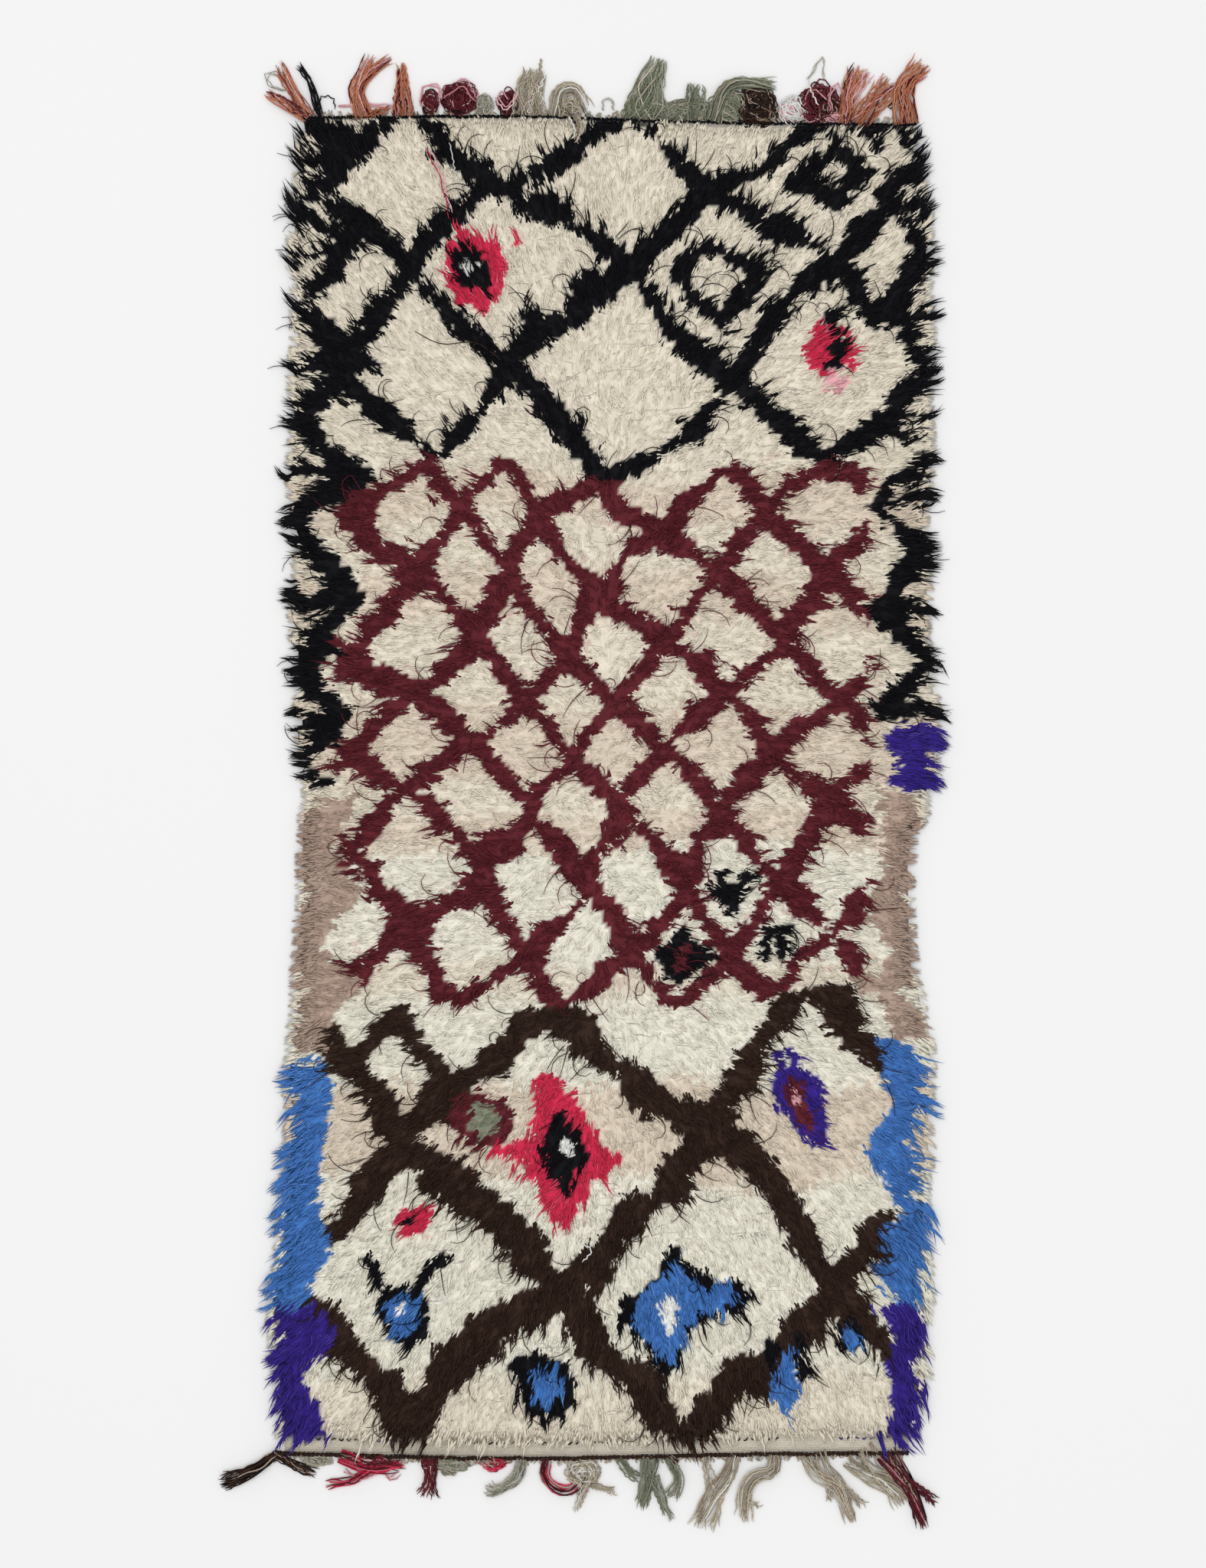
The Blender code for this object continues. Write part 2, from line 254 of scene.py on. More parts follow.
# The large lozenge sets the scale. The upper net's lozenges are three quarters as wide and the middle
# net's two fifths, and each net has a corner near the middle where one yarn takes over from the next.
LOZENGE = 46.0
NET_MIDDLE = 3.0
UPPER_FOOT = 55.0
LOWER_HEAD = -35.0
MIDDLE_ROWS = 9
FAR = 200.0
UPPER = Net(
    Yarn.BLACK,
    FAR,
    UPPER_FOOT,
    0.75 * LOZENGE,
    31.0,
    NET_MIDDLE,
    UPPER_FOOT,
    width=3.7,
    edge=47.0,
)
MIDDLE = Net(
    Yarn.MAROON,
    UPPER_FOOT,
    LOWER_HEAD,
    0.4 * LOZENGE,
    2.0 * (UPPER_FOOT - LOWER_HEAD) / MIDDLE_ROWS,
    NET_MIDDLE,
    UPPER_FOOT,
    width=3.4,
)
LOWER = Net(
    Yarn.BROWN,
    LOWER_HEAD,
    -FAR,
    LOZENGE,
    50.0,
    NET_MIDDLE - 0.25 * LOZENGE,
    LOWER_HEAD,
    width=5.8,
    edge=50.0,
)

BORDERS: tuple[Zigzag, ...] = (
    Zigzag(-1, Yarn.BLACK, FAR, 0.0, 4.6, 19.0, 4.2, middle=47.5, rung=2.4),
    Zigzag(-1, Yarn.TAUPE, -4.0, -46.0, 2.6, 16.0, 6.6, middle=48.5),
    Zigzag(-1, Yarn.BLUE, -48.0, -90.0, 2.4, 24.0, 7.2, middle=51.0),
    Zigzag(-1, Yarn.INDIGO, -90.0, -FAR, 2.2, 18.0, 6.6, middle=53.0),
    Zigzag(1, Yarn.BLACK, FAR, 10.0, 4.0, 17.0, 3.4, middle=51.0, rung=2.2),
    Zigzag(1, Yarn.INDIGO, 9.0, -3.0, 2.2, 8.0, 5.0, middle=53.0, rung=2.6),
    Zigzag(1, Yarn.TAUPE, -4.0, -42.0, 1.6, 15.0, 5.8, middle=50.5),
    Zigzag(1, Yarn.BLUE, -43.0, -88.0, 2.2, 19.0, 5.8, middle=51.0),
    Zigzag(1, Yarn.INDIGO, -88.0, -FAR, 2.0, 12.0, 5.2, middle=51.0),
)


def nested(middle: Place, cornered: bool, *fills: tuple[Yarn, float, float]) -> tuple[Figure, ...]:
    """Sets filled figures inside each other, the outer one first.

    Args:
        middle: Where they all stand.
        cornered: Whether they are lozenges.
        fills: For each its yarn, half width and half height.

    Returns:
        The figures.
    """
    return tuple(Patch(yarn, middle, across, along, cornered) for yarn, across, along in fills)


def crossed(middle: Place) -> tuple[Figure, ...]:
    """Makes a crimson cross with a dark lozenge at its heart."""
    x, y = middle
    upright = Bar(Yarn.CRIMSON, 5.6, (x, y - 12.0), (x, y + 9.0))
    heart = nested((x, y - 3.0), True, (Yarn.CRIMSON, 10.5, 10.5), (Yarn.BLACK, 5.0, 6.5))
    return (upright, *heart, Patch(Yarn.WHITE, (x, y - 2.0), 1.1, 1.2))


def paired(
    middle: Place,
    yarn: Yarn,
    apart: float,
    tall: float,
    spread: float = 0.0,
    width: float = 2.4,
) -> tuple[Figure, ...]:
    """Makes two bars side by side.

    Args:
        middle: Where they stand.
        yarn: Their yarn.
        apart: How far apart their feet are.
        tall: How tall they are.
        spread: How much further apart their heads are, which makes a V of them.
        width: How wide each bar is.

    Returns:
        The two bars.
    """
    x, y = middle
    foot = 0.5 * apart
    head = foot + 0.5 * spread
    sides = (-1.0, 1.0)
    return tuple(
        Bar(yarn, width, (x + side * foot, y - 0.5 * tall), (x + side * head, y + 0.5 * tall))
        for side in sides
    )


def figures() -> tuple[Figure, ...]:
    """Sets the small figures into lozenges of the three nets."""
    eye = UPPER.cell(-1, 2, (-3.0, 0.0))
    disc = LOWER.cell(2, -1, (-4.0, 3.0))
    small_star = LOWER.cell(-1, -2, (0.0, -6.0))
    bars = LOWER.cell(2, -3, (-10.0, 13.0))
    return (
        *nested(UPPER.cell(1, 2), True, (Yarn.BLACK, 9.4, 8.6), (Yarn.CREAM, 4.8, 4.4)),
        *nested(UPPER.cell(2, 3), True, (Yarn.BLACK, 8.6, 7.6), (Yarn.CREAM, 4.2, 3.8)),
        *nested(eye, False, (Yarn.CRIMSON, 5.8, 7.4), (Yarn.BLACK, 3.2, 4.8), (Yarn.WHITE, 1.3, 1.2)),
        *paired(UPPER.cell(2, 1, (0.0, 3.0)), Yarn.CRIMSON, 5.0, 4.0),
        Bar(Yarn.BLACK, 2.2, UPPER.cell(2, 1, (0.0, 7.0)), UPPER.cell(2, 1, (0.0, 1.0))),
        Patch(Yarn.PINK, UPPER.cell(2, 1, (0.0, -2.0)), 2.0, 1.8),
        *paired(MIDDLE.cell(2, -7), Yarn.BLACK, 1.0, 3.0, 4.0),
        *nested(MIDDLE.cell(1, -8), True, (Yarn.BLACK, 5.0, 6.2), (Yarn.MAROON, 1.8, 3.0)),
        *paired(MIDDLE.cell(3, -8), Yarn.BLACK, 3.2, 3.0),
        *paired(LOWER.cell(-1, 0, (-1.0, -10.0)), Yarn.BROWN, 20.0, 11.0, -20.0, 4.4),
        *crossed(LOWER.cell(0, -1)),
        *nested(LOWER.cell(0, -1, (-12.0, 3.0)), False, (Yarn.MAROON, 4.2, 4.6), (Yarn.SAGE, 1.8, 2.2)),
        *paired((disc[0], disc[1] + 6.0), Yarn.INDIGO, 3.0, 4.0),
        *nested(disc, False, (Yarn.INDIGO, 5.4, 6.0), (Yarn.MAROON, 2.4, 4.4), (Yarn.PINK, 0.9, 1.0)),
        *nested(LOWER.cell(-1, -2, (2.0, 12.0)), False, (Yarn.CRIMSON, 3.2, 3.0), (Yarn.BLACK, 1.6, 1.5)),
        *paired((small_star[0], small_star[1] + 7.0), Yarn.BLACK, 6.0, 6.0, 8.0),
        *nested(small_star, False, (Yarn.BLACK, 6.4, 5.4), (Yarn.BLUE, 4.4, 3.6), (Yarn.WHITE, 1.2, 1.0)),
        *nested(LOWER.cell(0, -3, (-2.0, 11.0)), False, (Yarn.BLACK, 4.2, 4.4), (Yarn.BLUE, 2.2, 3.0)),
        *nested(LOWER.cell(1, -2, (-3.0, -4.0)), True, (Yarn.BLACK, 10.5, 10.5), (Yarn.BLUE, 8.4, 8.6)),
        Patch(Yarn.WHITE, LOWER.cell(1, -2, (-3.0, -4.0)), 2.6, 3.8, True),
        *paired(bars, Yarn.BLACK, 5.0, 4.0),
        Bar(Yarn.BLUE, 2.8, bars, (bars[0], bars[1] - 6.0)),
        *nested(LOWER.cell(2, -3, (3.0, 17.0)), False, (Yarn.BLACK, 3.2, 3.2), (Yarn.BLUE, 2.0, 2.0)),
    )


@dataclass
class Chart:
    """The weaver's pattern: which yarn each knot takes.

    Places and sizes are in centimetres. Wander, ragged and sway are how far the slow, quick and
    slowest waves move a line. The sway grows less towards the borders. Swelling is how much a
    line's width changes along it, and swing is what six waves add up to at most places.
    """

    shapes: tuple[Figure, ...] = (LOWER, MIDDLE, UPPER, *BORDERS, *figures())
    sway: float = 3.3
    wander: float = 0.5
    ragged: float = 0.42
    swelling: float = 0.34
    steady_from: float = 50.0
    steadying: float = 20.0
    least_sway: float = 0.15
    swing: float = 2.6
    seed: int = SEED
    waves: list[tuple[float, float, float]] = field(default_factory=list)

    def __post_init__(self) -> None:
        """Draws the waves that make the weaver's hand uneven: slow ones, quick ones, then the sway."""
        rng = np.random.default_rng(self.seed)
        for count, shortest, longest in ((18, 5.0, 17.0), (12, 1.9, 4.2), (12, 38.0, 95.0)):
            for _ in range(count):
                turn = rng.uniform(0.0, math.tau)
                pace = math.tau / rng.uniform(shortest, longest)
                self.waves.append((pace * math.cos(turn), pace * math.sin(turn), rng.uniform(0.0, math.tau)))

    def drift(self, x: Array, y: Array, first: int) -> Array:
        """Adds six waves into a value between about -1 and 1.

        Args:
            x: Places across the weave, in centimetres.
            y: Places along the weave, in centimetres.
            first: The first of the six waves.

        Returns:
            One value for each place.
        """
        total = np.zeros(x.shape)
        for px, py, start in self.waves[first : first + 6]:
            total += np.sin(px * x + py * y + start)
        return total / self.swing

    def yarn_at(self, x: Array, y: Array) -> Array:
        """Reads the chart.

        Args:
            x: Places across the weave, in centimetres.
            y: Places along the weave, in centimetres.

        Returns:
            The number of each knot's yarn in YARNS.
        """
        found = np.zeros(x.shape, dtype=np.int32)
        swell = 1.0 + self.swelling * self.drift(x, y, 12)
        free = np.clip((self.steady_from - np.abs(x)) / self.steadying, self.least_sway, 1.0)
        moved_x = x + self.wander * self.drift(x, y, 0) + self.ragged * self.drift(x, y, 18)
        moved_y = y + self.wander * self.drift(x, y, 6) + self.ragged * self.drift(x, y, 24)
        moved_x = moved_x + self.sway * free * self.drift(x, y, 30)
        moved_y = moved_y + self.sway * self.drift(x, y, 36)
        for shape in self.shapes:
            found[shape.inside(moved_x, moved_y, swell)] = shape.yarn.number
        return found


@dataclass(frozen=True)
class Band:
    """A band of one undyed wool, which starts below a place along the weave, in centimetres."""

    below: float
    yarn: Yarn


BANDS: tuple[Band, ...] = (
    Band(200, Yarn.CREAM),
    Band(52, Yarn.OATMEAL),
    Band(44, Yarn.CREAM),
    Band(36, Yarn.OATMEAL),
    Band(28, Yarn.CREAM),
    Band(14, Yarn.OATMEAL),
    Band(2, Yarn.CREAM),
    Band(-4, Yarn.OATMEAL),
    Band(-10, Yarn.CHALK),
    Band(-30, Yarn.CREAM),
    Band(-36, Yarn.CHALK),
    Band(-51, Yarn.OATMEAL),
    Band(-66, Yarn.CHALK),
    Band(-100, Yarn.CREAM),
)


# ---------------------------------------------------------------------------------------------
# The weave's outline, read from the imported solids
# ---------------------------------------------------------------------------------------------


@dataclass
class Weave:
    """Where the weave, its selvedges and its two cords lie. Places are read off the solids."""

    body: str = "rug_body"
    top_cord: str = "header_cord_top"
    bottom_cord: str = "header_cord_bottom"
    station: float = 0.031
    middle: Place = (0.0, 0.0)

    def __post_init__(self) -> None:
        """Finds the middle of the weave and the lines of both cords."""
        low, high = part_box(self.body)
        self.middle = (0.5 * (low.x + high.x), 0.5 * (low.y + high.y))
        self.top_line = self.cord_line(self.top_cord)
        self.bottom_line = self.cord_line(self.bottom_cord)
        self.left_reach, self.right_reach = self.side_lines()

    def points(self, node: str) -> Array:
        """Reads a solid's points, counted from the middle of the weave.

        Args:
            node: The solid's name.

        Returns:
            An array of points, three numbers each.
        """
        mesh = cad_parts[node].data
        places = np.empty(len(mesh.vertices) * 3)
        mesh.vertices.foreach_get("co", places)
        return places.reshape(-1, 3) - np.array((*self.middle, 0.0))

    def cord_line(self, node: str) -> Array:
        """Finds the middle line of a cord, as points that run from left to right.

        Args:
            node: The cord's name.

        Returns:
            One row for each ring of the cord: across, along and height.
        """
        points = self.points(node)
        points = points[np.argsort(points[:, 0])]
        breaks = np.flatnonzero(np.diff(points[:, 0]) > 0.005) + 1
        return np.array([0.5 * (ring.min(axis=0) + ring.max(axis=0)) for ring in np.split(points, breaks)])

    def side_lines(self) -> tuple[Array, Array]:
        """Finds how far the pile reaches to the left and right, station by station.

        Returns:
            Two arrays with one row a station: along, across.
        """
        points = self.points(self.body)
        foot = points[points[:, 2] < 0.0005]
        stations = np.arange(foot[:, 1].min() + self.station, foot[:, 1].max(), self.station)
        left = []
        right = []
        for along in stations:
            near = foot[np.abs(foot[:, 1] - along) < 1.2 * self.station]
            left.append((along, near[:, 0].min()))
            right.append((along, near[:, 0].max()))
        return np.array(left), np.array(right)

    def left(self, along: Array) -> Array:
        """Gives the left reach of the pile at each place along."""
        return np.interp(along, self.left_reach[:, 0], self.left_reach[:, 1])

    def right(self, along: Array) -> Array:
        """Gives the right reach of the pile at each place along."""
        return np.interp(along, self.right_reach[:, 0], self.right_reach[:, 1])

    def top(self, across: Array) -> Array:
        """Gives where the middle of the top cord runs at each place across."""
        return np.interp(across, self.top_line[:, 0], self.top_line[:, 1])

    def bottom(self, across: Array) -> Array:
        """Gives where the middle of the bottom cord runs at each place across."""
        return np.interp(across, self.bottom_line[:, 0], self.bottom_line[:, 1])

    def inset(self, across: Array, along: Array) -> Array:
        """Gives how far each place is inside the nearer side's reach."""
        return np.minimum(across - self.left(along), self.right(along) - across)

    def placed(self, points: Array) -> Array:
        """Moves points from the weave's own middle to their place in the frame."""
        return points + np.array((*self.middle, 0.0))


# ---------------------------------------------------------------------------------------------
# Filaments: the strands, plies and hairs that everything soft is made of
# ---------------------------------------------------------------------------------------------


@dataclass(frozen=True)
class Filament:
    """A closed tube of a few faces, pointed or blunt at its ends, that is laid along many lines.

    The rings stand at shares of the length, and each has its girth as a share of the full one.
    """

    sides: int
    shares: tuple[float, ...]
    girths: tuple[float, ...]

    def stations(self) -> Array:
        """Gives the shares of the length where a line must be known: root point, rings, tip point."""
        return np.array((0.0, *self.shares, 1.0))

    def shape(self) -> tuple[Array, Array, Array]:
        """Makes the tube once, upright.

        Returns:
            The station of each point, its place in the section, and the triangles.
        """
        rings = len(self.shares)
        bm = bmesh.new()
        bmesh.ops.create_cone(
            bm,
            cap_ends=True,
            cap_tris=True,
            segments=self.sides,
            radius1=1.0,
            radius2=0.0 if rings == 1 else 1.0,
            depth=1.0,
        )
        for ring in range(1, rings - 1):
            height = ring / (rings - 1) - 0.5
            everything = bm.verts[:] + bm.edges[:] + bm.faces[:]
            bmesh.ops.bisect_plane(bm, geom=everything, plane_co=(0.0, 0.0, height), plane_no=(0.0, 0.0, 1.0))
        bmesh.ops.remove_doubles(bm, verts=bm.verts, dist=0.0001)
        bmesh.ops.triangulate(bm, faces=bm.faces)
        bmesh.ops.recalc_face_normals(bm, faces=bm.faces)
        bm.verts.index_update()
        points = np.array([vert.co[:] for vert in bm.verts])
        faces = np.array([[vert.index for vert in face.verts] for face in bm.faces])
        bm.free()
        on_axis = np.hypot(points[:, 0], points[:, 1]) < 0.001
        station = 1 + np.round((points[:, 2] + 0.5) * max(rings - 1, 1)).astype(int)
        station[on_axis & (points[:, 2] < 0.0)] = 0
        station[on_axis & (points[:, 2] > 0.0)] = rings + 1
        section = points[:, :2] * np.array((0.0, *self.girths, 0.0))[station][:, None]
        return station, section, faces


# A map keeps this far from its border, and the tone changes this much around a filament.
MAP_MARGIN = 0.004
ROUND_TONE = 0.012


@dataclass
class Lay:
    """Filaments laid along lines, ready to be joined into one piece.

    The lines hold one row of points for each filament, a point for each of its stations. Shade is
    the filament's own tone between 0 and 1, which becomes the first coordinate of its map.
    """

    filament: Filament
    lines: Array
    radius: Array
    shade: Array
    side: Array | None = None
    flatness: float = 1.0

    def frames(self) -> tuple[Array, Array]:
        """Works out the section's two directions at every station of every line.

        Returns:
            The sideways direction and the one across it, both square to the line.
        """
        ahead = np.empty_like(self.lines)
        ahead[:, 1:-1] = self.lines[:, 2:] - self.lines[:, :-2]
        ahead[:, 0] = self.lines[:, 1] - self.lines[:, 0]
        ahead[:, -1] = self.lines[:, -1] - self.lines[:, -2]
        ahead /= np.linalg.norm(ahead, axis=2, keepdims=True) + 1e-9
        if self.side is None:
            side = np.stack((-ahead[..., 1], ahead[..., 0], np.zeros(ahead.shape[:2])), axis=2)
            side[..., 0] += 1e-6
        else:
            side = np.broadcast_to(self.side[:, None, :], ahead.shape)
            side = side - ahead * np.sum(side * ahead, axis=2, keepdims=True)
        side = side / (np.linalg.norm(side, axis=2, keepdims=True) + 1e-9)
        return side, np.cross(ahead, side)

    def mesh(self) -> tuple[Array, Array, Array]:
        """Lays a copy of the filament along every line.

        Returns:
            Points, triangles, and the map's two coordinates for each point.
        """
        station, section, faces = self.filament.shape()
        side, across = self.frames()
        radius = np.broadcast_to(np.asarray(self.radius).reshape(-1, 1, 1), (len(self.lines), 1, 1))
        points = self.lines[:, station]
        points = points + side[:, station] * radius * section[None, :, :1]
        points = points + across[:, station] * radius * self.flatness * section[None, :, 1:]
        starts = np.arange(len(self.lines)) * len(station)
        triangles = faces[None, :, :] + starts[:, None, None]
        tone = self.shade[:, None] + ROUND_TONE * section[None, :, 0]
        tone = np.clip(tone, MAP_MARGIN, 1.0 - MAP_MARGIN)
        length = np.broadcast_to(self.filament.stations()[station][None, :], tone.shape)
        where = np.stack((tone, MAP_MARGIN + (1.0 - 2.0 * MAP_MARGIN) * length), axis=2)
        return points.reshape(-1, 3), triangles.reshape(-1, 3), where.reshape(-1, 2)


def joined(name: str, lays: list[Lay], weave: Weave) -> bpy.types.Object:
    """Joins filaments into one piece, in its place in the frame.

    Args:
        name: The piece's name.
        lays: What it is made of.
        weave: The weave that the lines are counted from.

    Returns:
        The new object, with the map that its wool follows.
    """
    parts = [lay.mesh() for lay in lays]
    starts = np.cumsum([0] + [len(points) for points, _, _ in parts])
    points = weave.placed(np.concatenate([points for points, _, _ in parts]))
    faces = np.concatenate([faces + start for (_, faces, _), start in zip(parts, starts)])
    where = np.concatenate([where for _, _, where in parts])
    mesh = bpy.data.meshes.new(name)
    mesh.vertices.add(len(points))
    mesh.vertices.foreach_set("co", points.ravel())
    mesh.loops.add(faces.size)
    mesh.loops.foreach_set("vertex_index", faces.ravel())
    mesh.polygons.add(len(faces))
    mesh.polygons.foreach_set("loop_start", np.arange(0, faces.size, 3))
    mesh.polygons.foreach_set("loop_total", np.full(len(faces), 3))
    mesh.uv_layers.new(name="OFBake").data.foreach_set("uv", where[faces.ravel()].ravel())
    mesh.update(calc_edges=True)
    mesh.validate()
    mesh.shade_smooth()
    piece = bpy.data.objects.new(name, mesh)
    bpy.context.scene.collection.objects.link(piece)
    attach(piece, BODY)
    return piece


def bowed(start: Array, bend: Array, end: Array, shares: Array) -> Array:
    """Draws one smooth bow for each filament, through a point that pulls it.

    Args:
        start: The roots, three numbers each.
        bend: The points that pull the bows.
        end: The tips.
        shares: The shares of the length wanted.

    Returns:
        A row of points for each filament.
    """
    share = shares[None, :, None]
    first = start[:, None, :] * (1.0 - share) ** 2
    second = bend[:, None, :] * 2.0 * share * (1.0 - share)
    return first + second + end[:, None, :] * share**2


# ---------------------------------------------------------------------------------------------
# Finishes
# ---------------------------------------------------------------------------------------------

Colour = tuple[float, float, float]

# A plied yarn shows the turns of its plies, as relief and as painted shade in the grooves between them, and
# has little painted shade at its root.
PLIED_ROOT_PAINTED_SHADE = 0.9
PLIED_TURNS = 16.0
PLIED_GROOVE_DEPTH_AND_SHADE = 0.45
SHEEN_ROUGHNESS = 0.5


class Tree:
    """Adds nodes to a node tree and joins their sockets."""

    def __init__(self, tree: bpy.types.NodeTree) -> None:
        """Keeps the tree and empties it."""
        self.tree = tree
        self.tree.nodes.clear()

    def add(self, kind: str, **settings: object) -> bpy.types.Node:
        """Adds one node.

        Args:
            kind: The node's type.
            settings: Its properties.

        Returns:
            The new node.
        """
        node = self.tree.nodes.new(kind)
        for name, value in settings.items():
            setattr(node, name, value)
        return node

    def join(self, source: bpy.types.NodeSocket, target: bpy.types.NodeSocket) -> None:
        """Joins an output to an input."""
        self.tree.links.new(source, target)

    def math(self, operation: str, first: object, second: object) -> bpy.types.NodeSocket:
        """Adds a sum of two values, each a socket or a number.

        Args:
            operation: The name of the sum.
            first: Its first value.
            second: Its second value.

        Returns:
            The result's socket.
        """
        node = self.add("ShaderNodeMath", operation=operation)
        for socket, value in zip(node.inputs, (first, second)):
            if isinstance(value, bpy.types.NodeSocket):
                self.join(value, socket)
            else:
                socket.default_value = value
        return node.outputs[0]

    def remap(self, value: bpy.types.NodeSocket, span: Place, result: Place) -> bpy.types.NodeSocket:
        """Maps a span of values onto another, smoothly.

        Args:
            value: The value's socket.
            span: The values that come in.
            result: What their ends become; each may be a socket.

        Returns:
            The result's socket.
        """
        node = self.add("ShaderNodeMapRange", interpolation_type="SMOOTHSTEP")
        self.join(value, node.inputs["Value"])
        node.inputs["From Min"].default_value = span[0]
        node.inputs["From Max"].default_value = span[1]
        for socket, end in zip((node.inputs["To Min"], node.inputs["To Max"]), result):
            if isinstance(end, bpy.types.NodeSocket):
                self.join(end, socket)
            else:
                socket.default_value = end
        return node.outputs["Result"]

    def mix(self, blend: str, share: object, first: object, second: object) -> bpy.types.NodeSocket:
        """Mixes two colours.

        Args:
            blend: How they mix.
            share: How much, a socket or a number.
            first: The colour underneath, a socket or a colour.
            second: The colour on top, a socket or a colour.

        Returns:
            The mixed colour's socket.
        """
        node = self.add("ShaderNodeMix", data_type="RGBA", blend_type=blend)
        for socket, value in zip((node.inputs[0], node.inputs[6], node.inputs[7]), (share, first, second)):
            if isinstance(value, bpy.types.NodeSocket):
                self.join(value, socket)
            elif isinstance(value, tuple):
                socket.default_value = (*value, 1.0)
            else:
                socket.default_value = value
        return node.outputs[2]

    def grey(self, value: bpy.types.NodeSocket) -> bpy.types.NodeSocket:
        """Turns a value into a grey colour."""
        node = self.add("ShaderNodeCombineColor")
        for socket in node.inputs:
            self.join(value, socket)
        return node.outputs[0]

    def group(self, inner: bpy.types.NodeTree) -> bpy.types.Node:
        """Places a shader node group."""
        return self.add("ShaderNodeGroup", node_tree=inner)

    def attribute(self, name: str) -> bpy.types.NodeSocket:
        """Reads a colour that is written on the mesh's points."""
        return self.add("ShaderNodeAttribute", attribute_name=name).outputs["Color"]

    def finish(
        self,
        colour: bpy.types.NodeSocket,
        roughness: bpy.types.NodeSocket,
        height: bpy.types.NodeSocket,
        relief: Place,
        settings: dict[str, object],
    ) -> None:
        """Ends a material with its shader, its relief and its output.

        Args:
            colour: The colour's socket.
            roughness: The roughness's socket.
            height: The relief's socket.
            relief: How strong the relief is, and how deep.
            settings: The values set on the shader itself, by their sockets' names.
        """
        shader = self.add("ShaderNodeBsdfPrincipled")
        for label, value in settings.items():
            shader.inputs[label].default_value = value
        self.join(colour, shader.inputs["Base Color"])
        self.join(roughness, shader.inputs["Roughness"])
        bump = self.add("ShaderNodeBump")
        bump.inputs["Strength"].default_value, bump.inputs["Distance"].default_value = relief
        self.join(height, bump.inputs["Height"])
        self.join(bump.outputs[0], shader.inputs["Normal"])
        out = self.add("ShaderNodeOutputMaterial")
        self.join(shader.outputs[0], out.inputs["Surface"])

    def noise(
        self, vector: bpy.types.NodeSocket, stretch: tuple[float, float, float], detail: float
    ) -> bpy.types.NodeSocket:
        """Adds a noise drawn out along some directions.

        Args:
            vector: Where it is read.
            stretch: How many spots there are along each direction.
            detail: How many finer layers it has.

        Returns:
            The noise's value, between 0 and 1.
        """
        scaled = self.add("ShaderNodeVectorMath", operation="MULTIPLY")
        self.join(vector, scaled.inputs[0])
        scaled.inputs[1].default_value = stretch
        node = self.add("ShaderNodeTexNoise")
        node.inputs["Scale"].default_value = 1.0
        node.inputs["Detail"].default_value = detail
        self.join(scaled.outputs[0], node.inputs["Vector"])
        return node.outputs["Fac"]


def started(name: str) -> tuple[bpy.types.Material, Tree]:
    """Starts a material with an empty node tree."""
    made = bpy.data.materials.new(name)
    made.use_nodes = True
    return made, Tree(made.node_tree)


